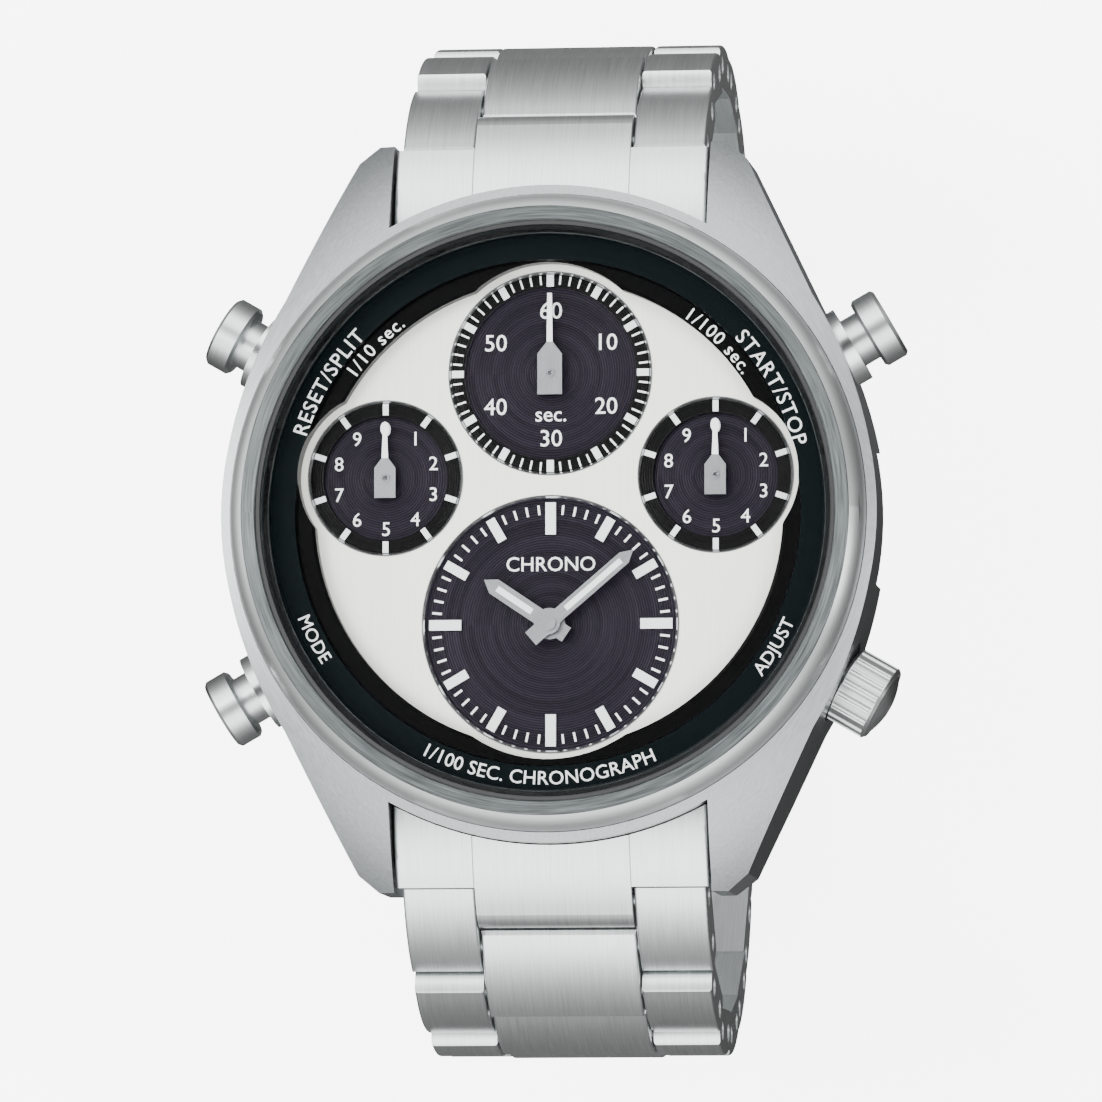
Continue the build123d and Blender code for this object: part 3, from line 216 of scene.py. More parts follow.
# ---- Bezel -----------------------------------------------------------------------
# A turned steel ring pressed on to the case middle. Its flat top is brushed in circles and
# coloured near black as painted shade; its outer slope is satin polished and coloured pale as a painted
# highlight.
BEZEL_STEP = 19.43 * MM
BEZEL_LINE = 0.11 * MM
BEZEL_LINE_LENGTH = 3.5 * MM
BEZEL_ARC = 18 * MM
BEZEL_EDGE_GAP = 0.02 * MM


def bezel_with_painted_shade_and_highlight():
    """Coarse circular lines on the flat over painted shade, a smooth satin slope outside it with a painted
    highlight.
    """
    material, tree, shader = finish_of("bezel_with_painted_shade_and_highlight", "#8E9293", 1.0, 0.3)
    reach, turn = polar(tree, object_place(tree), (0, 0))
    spread_along(tree, shader, 0.7, object_place(tree))
    rings = ring_place(tree, reach, turn, BEZEL_ARC)
    lines = streaks(tree, rings, (1 / BEZEL_LINE, 1 / BEZEL_LINE_LENGTH, 1), detail=4.0)
    flat = add(tree, "ShaderNodeMath", {"operation": "LESS_THAN", 1: BEZEL_STEP - BEZEL_EDGE_GAP}, {0: reach})
    rough = add(tree, "ShaderNodeMapRange", {"To Min": 0.2, "To Max": 0.5}, {"Value": lines})
    chosen = add(
        tree,
        "ShaderNodeMix",
        {"data_type": "FLOAT", FLOAT_A: 0.3},
        {MIX_FACTOR: flat.outputs["Value"], FLOAT_B: rough.outputs["Result"]},
    )
    tree.links.new(chosen.outputs[MIXED_FLOAT], shader.inputs["Roughness"])
    # Painted shade: the flat's lines run from near black to mid grey, real grain over a colour darkened for
    # shade.
    grain = add(
        tree,
        "ShaderNodeMix",
        {"data_type": "RGBA", COLOUR_A: linear("#0B0E0F"), COLOUR_B: linear("#858B8B")},
        {MIX_FACTOR: lines},
    )
    # Painted highlight: the outer slope gets a pale grey colour, and the flat keeps its painted shade.
    shade = add(
        tree,
        "ShaderNodeMix",
        {"data_type": "RGBA", COLOUR_A: linear("#DDE0E0")},
        {MIX_FACTOR: flat.outputs["Value"], COLOUR_B: grain.outputs[MIXED_COLOUR]},
    )
    tree.links.new(shade.outputs[MIXED_COLOUR], shader.inputs["Base Color"])
    height_of = add(tree, "ShaderNodeMath", {"operation": "MULTIPLY"}, {0: lines, 1: flat.outputs["Value"]})
    raise_surface(tree, shader, height_of.outputs["Value"], 0.3, LINE_DEPTH)
    return material


dress(bezel_with_painted_shade_and_highlight(), "bezel")

# ---- Glass and gaskets ---------------------------------------------------------------
# A flat sapphire disc with a ground, polished edge, coated against reflections, held
# in a black nylon ring. The caseback seals on a rubber ring.
GLASS_EDGE = 17.83 * MM
MIDDLE_COVER = 0.035
EDGE_COVER = 0.5
SMEARS_PER_METRE = 300
MOULD_GRAIN_PER_METRE = 9000
MOULD_DEPTH = 0.01 * MM


def coated_sapphire():
    """Almost unseen in the middle; its ground edge catches a thin bright line."""
    material, tree, shader = finish_of("coated_sapphire", "#0A0E10", 0.0, 0.03)
    reach = polar(tree, object_place(tree), (0, 0))[0]
    edge = add(tree, "ShaderNodeMath", {"operation": "GREATER_THAN", 1: GLASS_EDGE}, {0: reach})
    cover = add(
        tree,
        "ShaderNodeMapRange",
        {"To Min": MIDDLE_COVER, "To Max": EDGE_COVER},
        {"Value": edge.outputs["Value"]},
    )
    tree.links.new(cover.outputs["Result"], shader.inputs["Alpha"])
    smear = streaks(tree, object_place(tree), (SMEARS_PER_METRE,) * 3)
    vary_roughness(tree, shader, smear, 0.02, 0.06)
    return material


dress(coated_sapphire(), "crystal")


def moulded_black(name, colour, roughness):
    """Matt black moulding with a faint grain."""
    material, tree, shader = finish_of(name, colour, 0.0, roughness)
    grain = streaks(tree, object_place(tree), (MOULD_GRAIN_PER_METRE,) * 3)
    raise_surface(tree, shader, grain, 0.15, MOULD_DEPTH)
    two_tone(tree, shader, grain, colour, "#1D1F20")
    return material


dress(moulded_black("moulded_nylon", "#050606", 0.55), "crystal_gasket")
dress(moulded_black("moulded_nitrile_rubber", "#0B0B0B", 0.75), "caseback_gasket")

# ---- Dial plate ---------------------------------------------------------------
# A brass plate with a white coat over fine vertical brushing. The four
# sub-dials sit in pockets cut through the coat.
DIAL_WHITE = "#F4F4EF"
DIAL_LINE = 0.1 * MM
DIAL_LINE_LENGTH = 5 * MM
DIAL_CHANGE_IN_DEPTH = 400


def brushed_white_coat():
    """White with fine upright lines that show as faint changes of sheen."""
    material, tree, shader = finish_of("brushed_white_coat", DIAL_WHITE, 0.0, 0.42)
    lines = streaks(tree, object_place(tree), (1 / DIAL_LINE, 1 / DIAL_LINE_LENGTH, DIAL_CHANGE_IN_DEPTH))
    brushing(tree, shader, lines, 0.32, 0.58, "#EAEAE3", "#FFFFFB", bump=0.22)
    return material


dress(brushed_white_coat(), "dial_plate")

# ---- Dial flange ------------------------------------------------------------------
# A two-step moulded ring between dial and glass, painted soft gloss black, with a
# slightly green cast on its outer step. Words for the buttons are printed on it in white.
FLANGE_STEP = 16.2 * MM
PAINT_GRAIN_PER_METRE = 1500


def painted_black_flange():
    """Deep black paint; the outer step is a green-black that mirrors softly."""
    material, tree, shader = finish_of(
        "painted_black_flange", "#06090A", 0.0, 0.22, Specular_IOR_Level=0.08
    )
    reach = polar(tree, object_place(tree), (0, 0))[0]
    outer = add(tree, "ShaderNodeMath", {"operation": "GREATER_THAN", 1: FLANGE_STEP}, {0: reach})
    two_tone(tree, shader, outer.outputs["Value"], "#010101", "#030A0C")
    grain = streaks(tree, object_place(tree), (PAINT_GRAIN_PER_METRE,) * 3)
    vary_roughness(tree, shader, grain, 0.28, 0.34)
    return material


dress(painted_black_flange(), "dial_flange")

# ---- Sub-dials ---------------------------------------------------------------------
# Four black discs turned with fine concentric grooves, in polished steel hoops. The
# three counting dials have a raised outer ring that is a deeper black.
# Each sub-dial's pivot, and where its deeper black ring starts; the time dial has none.
PIVOTS = {
    "seconds_subdial": (Vector((0.0, 9.07)) * MM, 5.5 * MM),
    "tenths_subdial": (Vector((-10.6, 2.45)) * MM, 4.0 * MM),
    "hundredths_subdial": (Vector((10.6, 2.45)) * MM, 4.0 * MM),
    "time_subdial": (Vector((0.0, -7.0)) * MM, 9.0 * MM),
}
GROOVE_PITCH = 0.16 * MM
GROOVE_DEPTH = 0.02 * MM
GROOVE_BAND = 0.3 * MM
GROOVE_BAND_LENGTH = 6 * MM
GROOVE_ARC = 1 * MM
WIPES_PER_METRE = 900


def grooved_black(name, centre, ring_start):
    """Aubergine black with turned grooves, their crests lightened in arcs by a painted highlight."""
    material, tree, shader = finish_of(name, "#0B090D", 0.0, 0.3, Specular_IOR_Level=0.1)
    reach, turn = polar(tree, object_place(tree), centre)
    per_metre = 2 * math.pi / GROOVE_PITCH
    wave = add(tree, "ShaderNodeMath", {"operation": "MULTIPLY", 1: per_metre}, {0: reach})
    groove = add(tree, "ShaderNodeMath", {"operation": "SINE"}, {0: wave.outputs["Value"]})
    rings = ring_place(tree, reach, turn, GROOVE_ARC)
    uneven = streaks(tree, rings, (1 / GROOVE_BAND, 1 / GROOVE_BAND_LENGTH, 1), detail=2.0)
    depth = add(tree, "ShaderNodeMath", {"operation": "MULTIPLY"}, {0: groove.outputs["Value"], 1: uneven})
    raise_surface(tree, shader, depth.outputs["Value"], 0.5, GROOVE_DEPTH)
    # Painted highlight: the groove crests, in uneven arcs, get a lighter aubergine colour.
    crest = add(
        tree,
        "ShaderNodeMapRange",
        {"From Min": -1.0, "To Min": 0.15, "To Max": 1.6},
        {"Value": groove.outputs["Value"]},
    )
    painted_crest_highlight = add(tree, "ShaderNodeMath", {"operation": "MULTIPLY"}, {0: crest.outputs["Result"], 1: uneven})
    disc = add(
        tree,
        "ShaderNodeMix",
        {"data_type": "RGBA", COLOUR_A: linear("#040305"), COLOUR_B: linear("#25202C")},
        {MIX_FACTOR: painted_crest_highlight.outputs["Value"]},
    )
    ring = add(tree, "ShaderNodeMath", {"operation": "GREATER_THAN", 1: ring_start}, {0: reach})
    shade = add(
        tree,
        "ShaderNodeMix",
        {"data_type": "RGBA", COLOUR_B: linear("#030303")},
        {MIX_FACTOR: ring.outputs["Value"], COLOUR_A: disc.outputs[MIXED_COLOUR]},
    )
    tree.links.new(shade.outputs[MIXED_COLOUR], shader.inputs["Base Color"])
    return material


for node_name, (centre, ring_start) in PIVOTS.items():
    dress(grooved_black(f"grooved_{node_name}", centre, ring_start), node_name)


def polished_steel(name, colour="#D5D8D8"):
    """Polished steel with faint wipe marks in its roughness."""
    material, tree, shader = finish_of(name, colour, 1.0, 0.12)
    wipe = streaks(tree, object_place(tree), (WIPES_PER_METRE,) * 3)
    vary_roughness(tree, shader, wipe, 0.13, 0.22)
    return material


dress(polished_steel("polished_rims"), "subdial_rims")

# ---- Luminous blocks and printed scales -----------------------------------------------
# The blocks are moulded luminous paint. The fine scale lines and the numerals are
# pad printed in white enamel, a few hundredths of a millimetre thick.
INK = 0.02 * MM
DISC_TOP = 8.62 * MM
RING_TOP = 8.86 * MM
LUME_GRAIN_PER_METRE = 14000
ENAMEL_GRAIN_PER_METRE = 8000
BOLD = 0.004 * MM
LIGHT = 0.002 * MM
CAP_SHARE = 0.73
MERGE_REACH = 0.0005 * MM


def luminous_paint():
    """Off-white and chalky, with visible grain."""
    material, tree, shader = finish_of("luminous_paint", "#E9ECEE", 0.0, 0.75)
    grain = streaks(tree, object_place(tree), (LUME_GRAIN_PER_METRE,) * 3)
    two_tone(tree, shader, grain, "#D3D7DC", "#F6F8F8")
    return material


LUME = luminous_paint()
dress(LUME, "subdial_markers")


def white_enamel():
    """Pad-printed white: even, slightly glossy, with a little unevenness."""
    material, tree, shader = finish_of("pad_printed_enamel", "#F2F4F4", 0.0, 0.5)
    grain = streaks(tree, object_place(tree), (ENAMEL_GRAIN_PER_METRE,) * 3)
    two_tone(tree, shader, grain, "#E4E7E8", "#FBFCFC")
    return material


ENAMEL = white_enamel()


def keep(shape, name, material, body):
    """Turn a bmesh into a piece that rides on a body."""
    bmesh.ops.recalc_face_normals(shape, faces=shape.faces)
    mesh = bpy.data.meshes.new(name)
    shape.to_mesh(mesh)
    shape.free()
    mesh.materials.append(material)
    piece = bpy.data.objects.new(name, mesh)
    bpy.context.scene.collection.objects.link(piece)
    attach(piece, body)


def scale_lines(name, centre, count, skip, inner, outer, width, height):
    """Printed lines round a pivot, leaving out those where a block stands."""
    shape = bmesh.new()
    for k in range(count):
        if k % skip == 0:
            continue
        place = (
            Matrix.Translation((centre.x, centre.y, height + INK / 2))
            @ Matrix.Rotation(-2 * math.pi * k / count, 4, "Z")
            @ Matrix.Translation((0, (inner + outer) / 2, 0))
            @ Matrix.Diagonal((width, outer - inner, INK, 1))
        )
        bmesh.ops.create_cube(shape, size=1.0, matrix=place)
    keep(shape, name, ENAMEL, "head")


SECONDS_MIDDLE = PIVOTS["seconds_subdial"][0]
TIME_MIDDLE = PIVOTS["time_subdial"][0]
scale_lines("seconds_lines", SECONDS_MIDDLE, 60, 5, 5.72 * MM, 6.3 * MM, 0.115 * MM, RING_TOP)
scale_lines("minute_lines", TIME_MIDDLE, 60, 5, 7.05 * MM, 7.66 * MM, 0.14 * MM, DISC_TOP)


def letters(words, cap_height, weight, spacing=1.0):
    """Words as a flat bmesh centred on the origin, with the given capital height."""
    curve = bpy.data.curves.new("letters", "FONT")
    curve.body = words
    curve.size = cap_height / CAP_SHARE
    curve.align_x = "CENTER"
    curve.space_character = spacing
    curve.offset = weight
    curve.extrude = INK / 2
    curve.resolution_u = 3
    carrier = bpy.data.objects.new("letters", curve)
    bpy.context.scene.collection.objects.link(carrier)
    mesh = bpy.data.meshes.new_from_object(carrier.evaluated_get(bpy.context.evaluated_depsgraph_get()))
    bpy.data.objects.remove(carrier)
    bpy.data.curves.remove(curve)
    shape = bmesh.new()
    shape.from_mesh(mesh)
    bpy.data.meshes.remove(mesh)
    bmesh.ops.remove_doubles(shape, verts=shape.verts, dist=MERGE_REACH)
    bmesh.ops.translate(shape, verts=shape.verts, vec=(0, -cap_height / 2, 0))
    return shape


def join_into(target, part):
    """Add one bmesh to another."""
    mesh = bpy.data.meshes.new("part")
    part.to_mesh(mesh)
    part.free()
    target.from_mesh(mesh)
    bpy.data.meshes.remove(mesh)


def numerals(name, centre, labels, radius, cap_height, height, weight):
    """Upright numerals spaced evenly round a pivot, clockwise from 12."""
    shape = bmesh.new()
    for k, label in enumerate(labels):
        angle = 2 * math.pi * k / len(labels)
        part = letters(label, cap_height, weight)
        spot = (centre.x + radius * math.sin(angle), centre.y + radius * math.cos(angle), height + INK / 2)
        bmesh.ops.translate(part, verts=part.verts, vec=spot)
        join_into(shape, part)
    keep(shape, name, ENAMEL, "head")


TENS = ("60", "10", "20", "30", "40", "50")
numerals("seconds_numerals", SECONDS_MIDDLE, TENS, 4.1 * MM, 1.1 * MM, DISC_TOP, BOLD)
for side in ("tenths", "hundredths"):
    middle = PIVOTS[f"{side}_subdial"][0]
    numerals(f"{side}_numerals", middle, "0123456789", 3.2 * MM, 0.92 * MM, DISC_TOP, LIGHT)


def straight_word(name, word, centre, above, cap_height):
    """A level word on a disc, a given height above its pivot."""
    shape = letters(word, cap_height, BOLD)
    spot = centre + Vector((0.0, above))
    bmesh.ops.translate(shape, verts=shape.verts, vec=(*spot, DISC_TOP + INK / 2))
    keep(shape, name, ENAMEL, "head")


straight_word("seconds_word", "sec.", SECONDS_MIDDLE, -2.55 * MM, 1.0 * MM)
straight_word("time_word", "CHRONO", TIME_MIDDLE, 3.9 * MM, 0.95 * MM)


def curved_words(name, words, radius, middle_angle, cap_height, height, tops_out, spacing=1.0):
    """Words bent round the dial, with the tops of the letters facing out or in."""
    shape = letters(words, cap_height, BOLD, spacing)
    middle = math.radians(middle_angle)
    sign = 1 if tops_out else -1
    level = height + INK / 2
    for vertex in shape.verts:
        reach = radius + sign * vertex.co.y
        angle = middle - sign * vertex.co.x / radius
        vertex.co = Vector((reach * math.cos(angle), reach * math.sin(angle), level + vertex.co.z))
    keep(shape, name, ENAMEL, "head")


FLANGE_HIGH = 10.7 * MM
FLANGE_LOW = 10.25 * MM
UPPER_RADIUS = 16.75 * MM
LOWER_RADIUS = 16.9 * MM
SCALE_RADIUS = 15.6 * MM
UPPER_CAPS = 0.98 * MM
LOWER_CAPS = 0.85 * MM
TITLE_CAPS = 0.9 * MM
SCALE_CAPS = 0.88 * MM
curved_words("reset_split_words", "RESET/SPLIT", UPPER_RADIUS, 149, UPPER_CAPS, FLANGE_HIGH, True, 1.1)
curved_words("tenth_words", "1/10 sec.", SCALE_RADIUS, 136, SCALE_CAPS, FLANGE_LOW, True, 1.12)
curved_words("hundredth_words", "1/100 sec.", SCALE_RADIUS, 45, SCALE_CAPS, FLANGE_LOW, True, 1.12)
curved_words("start_stop_words", "START/STOP", UPPER_RADIUS, 28.5, UPPER_CAPS, FLANGE_HIGH, True, 1.12)
curved_words("mode_word", "MODE", LOWER_RADIUS, 208, LOWER_CAPS, FLANGE_HIGH, False)
curved_words("adjust_word", "ADJUST", LOWER_RADIUS, -31, LOWER_CAPS, FLANGE_HIGH, False)
TITLE = "1/100 SEC. CHRONOGRAPH"
curved_words("chronograph_words", TITLE, LOWER_RADIUS, 268, TITLE_CAPS, FLANGE_HIGH, False)

# ---- Hands ---------------------------------------------------------------------------
# Stamped brass hands, rhodium plated and finely brushed. The time hands carry a strip
# of luminous paint; the counting hands have a white painted pointer, and the end of
# the arbor shows in the middle of each.
HAND_TOP = 9.33 * MM
HUB_TOP = 9.45 * MM
HOUR_TOP = 9.38 * MM
MINUTE_TOP = 9.8 * MM
HAND_LINE = 0.05 * MM
HAND_LINE_LENGTH = 1.5 * MM
HAND_LINE_DEPTH = 0.3 * MM
LUME_SINK = 0.05 * MM
LUME_THICK = 0.06 * MM
PAINT_THICK = 0.03 * MM
PAINT_ROUND = 0.015 * MM
TIP_STEPS = 32
TIP_MERGE = 0.001 * MM


def plated_hand(name, angle):
    """Silvery plate with lines along the hand."""
    material, tree, shader = finish_of(name, "#A3A5A8", 1.0, 0.22)
    turned = add(tree, "ShaderNodeMapping", {"Rotation": (0, 0, angle)}, {"Vector": object_place(tree)})
    pitch = (1 / HAND_LINE, 1 / HAND_LINE_LENGTH, 1 / HAND_LINE_DEPTH)
    lines = streaks(tree, turned.outputs["Vector"], pitch)
    brushing(tree, shader, lines, 0.26, 0.4, "#94979A", "#B4B7B9")
    return material


HOUR_TURN = math.radians(304.0)
MINUTE_TURN = math.radians(49.4)
dress(plated_hand("plated_counter_hand", 0.0), "seconds_hand", "tenths_hand", "hundredths_hand")
dress(plated_hand("plated_hour_hand", HOUR_TURN), "hour_hand")
dress(plated_hand("plated_minute_hand", MINUTE_TURN), "minute_hand")


def painted_strip(name, body, outline, low, thick, centre, turn, material):
    """A thin strip of paint from a plan outline in millimetres, turned to its hand."""
    shape = bmesh.new()
    corners = [shape.verts.new((x * MM, y * MM, low)) for x, y in outline]
    face = shape.faces.new(corners)
    raised = bmesh.ops.extrude_face_region(shape, geom=[face])
    moved = [item for item in raised["geom"] if isinstance(item, bmesh.types.BMVert)]
    bmesh.ops.translate(shape, verts=moved, vec=(0, 0, thick))
    bmesh.ops.recalc_face_normals(shape, faces=shape.faces)
    top = [edge for edge in shape.edges if all(v.co.z > low + thick / 2 for v in edge.verts)]
    rounding = {"offset": PAINT_ROUND, "segments": 2, "profile": 0.5, "affect": "EDGES", "material": -1}
    bmesh.ops.bevel(shape, geom=top, **rounding)
    place = Matrix.Translation((centre.x, centre.y, 0)) @ Matrix.Rotation(-turn, 4, "Z")
    bmesh.ops.transform(shape, matrix=place, verts=shape.verts)
    keep(shape, name, material, body)


def lume_strip(body, start, end, width, top, turn):
    """The luminous strip let into a time hand, between two distances from its pivot."""
    side = width / 2
    outline = [(-side, start), (side, start), (side, end), (-side, end)]
    painted_strip(f"{body}_paint", body, outline, top - LUME_SINK, LUME_THICK, TIME_MIDDLE, turn, LUME)


def white_pointer(dial, outline):
    """The white painted pointer of a counting hand, which stands upright at rest."""
    middle = PIVOTS[f"{dial}_subdial"][0]
    name = f"{dial}_pointer_paint"
    painted_strip(name, f"{dial}_hand", outline, HAND_TOP, PAINT_THICK, middle, 0.0, ENAMEL)


lume_strip("hour_hand", 1.36, 4.06, 0.41, HOUR_TOP, HOUR_TURN)
lume_strip("minute_hand", 1.41, 6.09, 0.38, MINUTE_TOP, MINUTE_TURN)
SECONDS_POINTER = [(-0.19, 1.98), (0.19, 1.98), (0.15, 5.12), (-0.15, 5.12)]
POINTER_SIDE = [(0.21, 1.26), (0.15, 2.75), (0.27, 3.0), (0.29, 3.23), (0.2, 3.5)]
POINTER_TIP = (0, 3.6)
mirrored = [(-x, y) for x, y in POINTER_SIDE]
spade_pointer = [mirrored[0], *POINTER_SIDE, POINTER_TIP, *reversed(mirrored[1:])]
white_pointer("seconds", SECONDS_POINTER)
white_pointer("tenths", spade_pointer)
white_pointer("hundredths", spade_pointer)

POLISHED_TIP = polished_steel("polished_arbor_tips", "#9EA1A4")
TIP_OUTLINE = (
    (0.0, 0.05),
    (0.07, 0.05),
    (0.09, 0.03),
    (0.13, 0.03),
    (0.17, 0.055),
    (0.2, 0.03),
    (0.2, -0.05),
    (0.0, -0.05),
)


def arbor_tip(dial):
    """The end of an arbor standing in a hand: a chamfered rim round a turned centre."""
    centre = PIVOTS[f"{dial}_subdial"][0]
    shape = bmesh.new()
    corners = [shape.verts.new((centre.x + x * MM, centre.y, HUB_TOP + z * MM)) for x, z in TIP_OUTLINE]
    edges = [shape.edges.new(pair) for pair in zip(corners, corners[1:])]
    axis = Vector((centre.x, centre.y, 0))
    bmesh.ops.spin(
        shape, geom=corners + edges, cent=axis, axis=(0, 0, 1), angle=2 * math.pi, steps=TIP_STEPS
    )
    bmesh.ops.remove_doubles(shape, verts=shape.verts, dist=TIP_MERGE)
    keep(shape, f"{dial}_arbor_tip", POLISHED_TIP, f"{dial}_hand")


for dial in ("seconds", "tenths", "hundredths"):
    arbor_tip(dial)

# ---- Pushers and crown --------------------------------------------------------------
# Turned steel buttons with broad caps, fine turning lines round them and polished
# collars. The crown is fluted and turned from the same bar.
TURNING_PITCH = 0.06 * MM
TURNING_LENGTH = 1.2 * MM


def turned_bar_steel(name, angle):
    """Turning lines square to an axis that points out of the case at an angle."""
    material, tree, shader = finish_of(name, "#BFC2C2", 1.0, 0.3)
    out = math.radians(angle)
    spread_along(tree, shader, 0.6, fixed_direction(tree, math.cos(out), math.sin(out), 0))
    turned = add(tree, "ShaderNodeMapping", {"Rotation": (0, 0, -out)}, {"Vector": object_place(tree)})
    pitch = (1 / TURNING_PITCH, 1 / TURNING_LENGTH, 1 / TURNING_LENGTH)
    lines = streaks(tree, turned.outputs["Vector"], pitch)
    brushing(tree, shader, lines, 0.24, 0.38, "#AEB2B2", "#CFD2D2")
    return material


dress(turned_bar_steel("turned_pusher_rising", 30), "pusher_start", "pusher_mode")
dress(turned_bar_steel("turned_pusher_falling", 150), "pusher_reset", "crown")
dress(polished_steel("polished_collars", "#C9CCCC"), "case_tubes")
dress(turned_bar_steel("turned_stem", 150), "winding_stem", "setting_lever")

# ---- Bracelet and end links --------------------------------------------------------
# Solid stainless links, each piece crowned on the outside and belt brushed along the
# bracelet, joined by steel pins. The end links are milled to hug the case.


LOOP_MIDDLE = -13.0 * MM
LOOP_RADIUS = 25 * MM
FLANK_TURN = 0.8
FLANK_LINE = 0.1 * MM
FLANK_LINE_LENGTH = 3 * MM
BELT_LINE = 0.08 * MM
BELT_LINE_LENGTH = 4 * MM


def flank_lines(tree):
    """Lines that follow the bracelet round on the flanks of its links, and where the flanks are."""
    middle = (0, 0, LOOP_MIDDLE)
    moved = add(tree, "ShaderNodeVectorMath", {"operation": "SUBTRACT", 1: middle}, {0: object_place(tree)})
    split = add(tree, "ShaderNodeSeparateXYZ", {}, {"Vector": moved.outputs["Vector"]})
    flat = add(tree, "ShaderNodeCombineXYZ", {}, {"Y": split.outputs["Y"], "Z": split.outputs["Z"]})
    reach = add(tree, "ShaderNodeVectorMath", {"operation": "LENGTH"}, {0: flat.outputs["Vector"]})
    sides = {0: split.outputs["Z"], 1: split.outputs["Y"]}
    turn = add(tree, "ShaderNodeMath", {"operation": "ARCTAN2"}, sides)
    rings = ring_place(tree, reach.outputs["Value"], turn.outputs["Value"], LOOP_RADIUS)
    lines = streaks(tree, rings, (1 / FLANK_LINE, 1 / FLANK_LINE_LENGTH, 1))
    facing = add(tree, "ShaderNodeNewGeometry").outputs["Normal"]
    across = add(tree, "ShaderNodeSeparateXYZ", {}, {"Vector": facing})
    size = add(tree, "ShaderNodeMath", {"operation": "ABSOLUTE"}, {0: across.outputs["X"]})
    limit = {"operation": "GREATER_THAN", 1: FLANK_TURN}
    flank = add(tree, "ShaderNodeMath", limit, {0: size.outputs["Value"]})
    return lines, flank.outputs["Value"]


def lengthwise_brushed_steel(name, dark, light):
    """Fine lines along the bracelet; soft bands of light lie across each crowned link."""
    material, tree, shader = finish_of(name, "#C3C6C6", 1.0, 0.33)
    spread_along(tree, shader, 0.35, fixed_direction(tree, 1, 0, 0))
    pitch = (1 / BELT_LINE, 1 / BELT_LINE_LENGTH, 1 / BELT_LINE_LENGTH)
    crown_lines = streaks(tree, object_place(tree), pitch)
    side_lines, flank = flank_lines(tree)
    choice = {MIX_FACTOR: flank, FLOAT_A: crown_lines, FLOAT_B: side_lines}
    lines = add(tree, "ShaderNodeMix", {"data_type": "FLOAT"}, choice)
    brushing(tree, shader, lines.outputs[MIXED_FLOAT], 0.28, 0.42, dark, light, bump=0.18)
    return material


BRACELET = lengthwise_brushed_steel("belt_brushed_links", "#AEB3B3", "#E4E7E7")
LINKS = [f"link_{side}_{k}" for side in ("12", "6") for k in range(1, 7)]
dress(BRACELET, "end_link_12", "end_link_6", *LINKS)
dress(polished_steel("drawn_pin_steel", "#A9ACAD"), "lug_spring_bars", "clasp_spring_bar")

# ---- Folding clasp -----------------------------------------------------------------
# Three pressed steel leaves: a brushed cover with side walls, and two plain blades
# that fold flat inside it. Two small buttons release it.
dress(lengthwise_brushed_steel("belt_brushed_cover", "#AEB2B2", "#CED1D1"), "clasp_cover")
BLADE_STEEL = lengthwise_brushed_steel("pressed_blade_steel", "#A4A8A8", "#C2C5C5")
dress(BLADE_STEEL, "clasp_inner_blade", "clasp_middle_blade")
dress(polished_steel("polished_buttons"), "clasp_button_left", "clasp_button_right")

# ---- Movement -------------------------------------------------------------------------
# A quartz movement closed inside the case: nickel-plated brass plates, brass wheels,
# copper coils, a laminate circuit board, a steel cell and a moulded holder.
WIRE_PITCH = 0.25 * MM
WIRE_DEPTH = 0.03 * MM
TRACK_PITCH = 1.2 * MM


def machined_metal(name, colour, dark, pitch):
    """Milled plate: short crossing lines in the metal's own colour."""
    material, tree, shader = finish_of(name, colour, 1.0, 0.35)
    lines = streaks(tree, object_place(tree), (1 / pitch, 1 / (6 * pitch), 1 / pitch))
    brushing(tree, shader, lines, 0.25, 0.45, dark, colour)
    return material


def wound_wire():
    """Copper wire laid in close turns along each coil, with painted shade between the turns."""
    material, tree, shader = finish_of("enamelled_copper_wire", "#9A5A2C", 0.6, 0.35)
    wire = add(
        tree,
        "ShaderNodeTexWave",
        {"Scale": 1 / WIRE_PITCH, "Distortion": 0.3},
        {"Vector": object_place(tree)},
    )
    # Painted shade: the low gaps between turns are coloured dark brown, and the tops of the turns stay
    # lighter.
    two_tone(tree, shader, wire.outputs["Fac"], "#5E3214", "#C27A3E")
    raise_surface(tree, shader, wire.outputs["Fac"], 0.3, WIRE_DEPTH)
    return material


def etched_board():
    """Green solder resist with slightly paler tracks."""
    material, tree, shader = finish_of("etched_laminate", "#0F3D22", 0.0, 0.4)
    tracks = add(
        tree,
        "ShaderNodeTexVoronoi",
        {"distance": "MANHATTAN", "Scale": 1 / TRACK_PITCH},
        {"Vector": object_place(tree)},
    )
    two_tone(tree, shader, tracks.outputs["Distance"], "#0B2F1A", "#2C6B3E")
    return material


dress(machined_metal("nickel_plated_brass", "#CFCABC", "#A8A396", 0.1 * MM), "main_plate", "train_bridge")
WHEELS = ("hour_wheel", "cannon_pinion", "minute_wheel", "seconds_wheel", "tenths_wheel", "hundredths_wheel")
dress(machined_metal("cut_brass_wheels", "#D2AE5E", "#A9853A", 0.05 * MM), *WHEELS)
dress(machined_metal("pressed_cell_steel", "#BDBFC0", "#9DA0A1", 0.08 * MM), "button_cell")
dress(wound_wire(), "stepping_motors")
dress(etched_board(), "circuit_board")
dress(moulded_black("moulded_holder", "#141516", 0.6), "movement_ring")

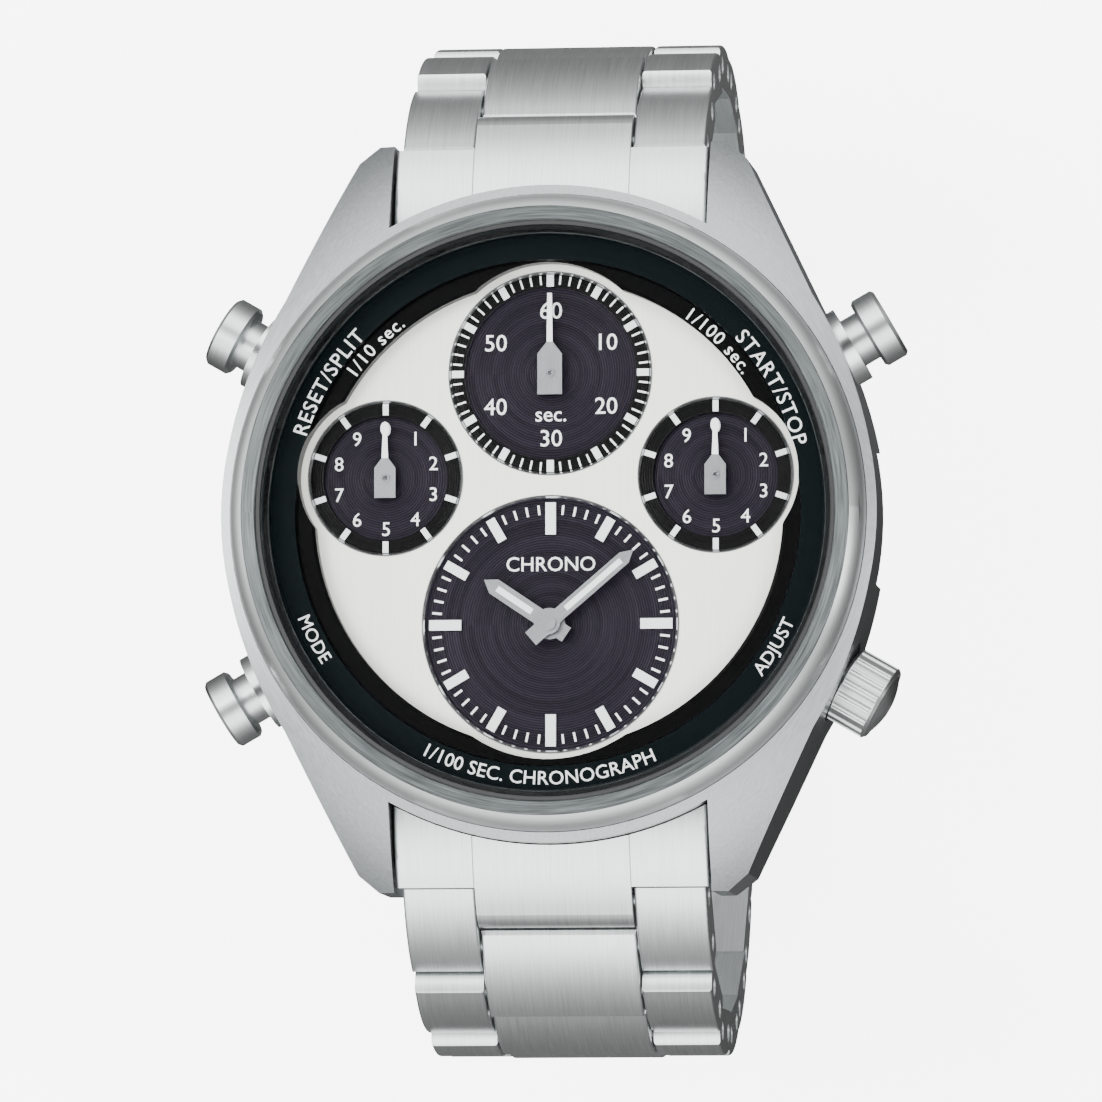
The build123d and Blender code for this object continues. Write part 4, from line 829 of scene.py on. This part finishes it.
# ---- Floor, lights and camera -------------------------------------------------------
# A plain pale floor just under the clasp, a soft room, a soft box on each side, and a
# long lens over the dial, a little towards 3 and 6 o'clock.
FLOOR_SIZE = 6.0
FLOOR_GAP = 0.3 * MM
FLOOR_GLOW = 4.5
SKY_STRENGTH = 5.5
floor_shape = bmesh.new()
bmesh.ops.create_grid(floor_shape, x_segments=1, y_segments=1, size=FLOOR_SIZE)
bmesh.ops.translate(floor_shape, verts=floor_shape.verts, vec=(0, 0, cad_low.z - FLOOR_GAP))
floor_mesh = bpy.data.meshes.new("floor")
floor_shape.to_mesh(floor_mesh)
floor_shape.free()
floor = bpy.data.objects.new("floor", floor_mesh)
bpy.context.scene.collection.objects.link(floor)
floor_paint, _, floor_shader = finish_of("pale_floor", "#F7F7F7", 0.0, 0.9)
floor_mesh.materials.append(floor_paint)
floor_shader.inputs["Emission Color"].default_value = linear("#FFFFFF")
floor_shader.inputs["Emission Strength"].default_value = FLOOR_GLOW
floor.visible_glossy = False

SIDE_SHARE = 0.3
world = bpy.data.worlds.new("studio")
bpy.context.scene.world = world
world.use_nodes = True
sky = world.node_tree
direction = add(sky, "ShaderNodeTexCoord").outputs["Generated"]
split = add(sky, "ShaderNodeSeparateXYZ", {}, {"Vector": direction})
rise = add(sky, "ShaderNodeMapRange", {"From Min": -1.0, "From Max": 1.0}, {"Value": split.outputs["Z"]})
ramp = add(sky, "ShaderNodeValToRGB", {}, {"Fac": rise.outputs["Result"]})
# Height from straight down (-1) to straight up (1), and how bright the room is there: a
# dark patch overhead keeps the blacks deep, and bright walls below it light the steel.
SKY_STOPS = (
    (-1.0, 0.03),
    (-0.4, 0.06),
    (0.05, 0.13),
    (0.35, 0.34),
    (0.6, 0.85),
    (0.75, 1.0),
    (0.92, 0.8),
    (0.97, 0.07),
    (1.0, 0.03),
)
stops = ramp.color_ramp.elements
stops[1].position = 1.0
for height, level in SKY_STOPS[1:-1]:
    stops.new((height + 1) / 2)
for stop, (height, level) in zip(stops, SKY_STOPS):
    stop.position = (height + 1) / 2
    stop.color = (level, level, level, 1)
level_part = add(sky, "ShaderNodeCombineXYZ", {}, {"X": split.outputs["X"], "Y": split.outputs["Y"]})
heading = add(sky, "ShaderNodeVectorMath", {"operation": "NORMALIZE"}, {0: level_part.outputs["Vector"]})
heading_parts = add(sky, "ShaderNodeSeparateXYZ", {}, {"Vector": heading.outputs["Vector"]})
toward_ends = add(sky, "ShaderNodeMath", {"operation": "ABSOLUTE"}, {0: heading_parts.outputs["Y"]})
strip = add(
    sky,
    "ShaderNodeMapRange",
    {"From Min": 0.35, "From Max": 0.9, "To Min": SIDE_SHARE, "To Max": 1.0},
    {"Value": toward_ends.outputs["Value"]},
)
dimmed = add(
    sky,
    "ShaderNodeVectorMath",
    {"operation": "SCALE"},
    {0: ramp.outputs["Color"], 3: strip.outputs["Result"]},
)
sky.links.new(dimmed.outputs["Vector"], sky.nodes["Background"].inputs["Color"])
sky.nodes["Background"].inputs["Strength"].default_value = SKY_STRENGTH


def soft_light(name, place, aim, width, depth, power):
    """A soft box facing a point."""
    lamp = bpy.data.lights.new(name, "AREA")
    lamp.shape = "RECTANGLE"
    lamp.size = width
    lamp.size_y = depth
    lamp.energy = power
    box = bpy.data.objects.new(name, lamp)
    box.location = place
    box.rotation_mode = "QUATERNION"
    box.rotation_quaternion = (Vector(aim) - Vector(place)).to_track_quat("-Z", "Y")
    bpy.context.scene.collection.objects.link(box)


soft_light("left_box", (-0.75, 0.1, 0.75), (0, 0, 0), 0.5, 1.0, 16)
soft_light("right_box", (0.8, -0.1, 0.6), (0, 0, 0), 0.3, 0.8, 4)

camera_data = bpy.data.cameras.new("camera")
camera = bpy.data.objects.new("camera", camera_data)
bpy.context.scene.collection.objects.link(camera)
bpy.context.scene.camera = camera
VIEW_YAW = math.radians(6.7)
VIEW_PITCH = math.radians(5.2)
VIEW_DISTANCE = 0.6
SENSOR_WIDTH = 36.0
FRAME_WIDTH = 69.84 * MM
toward_camera = Vector((math.tan(VIEW_YAW), -math.tan(VIEW_PITCH), 1.0)).normalized()
aim_point = Vector((0.45, -2.64, 12.4)) * MM
camera.location = aim_point + toward_camera * VIEW_DISTANCE
across_view = Vector((0, 1, 0)).cross(toward_camera).normalized()
up_view = toward_camera.cross(across_view)
camera.rotation_mode = "QUATERNION"
camera.rotation_quaternion = Matrix((across_view, up_view, toward_camera)).transposed().to_quaternion()
camera_data.sensor_width = SENSOR_WIDTH
camera_data.lens = SENSOR_WIDTH * VIEW_DISTANCE / FRAME_WIDTH
camera_data.clip_start = 0.01
camera_data.clip_end = 20.0
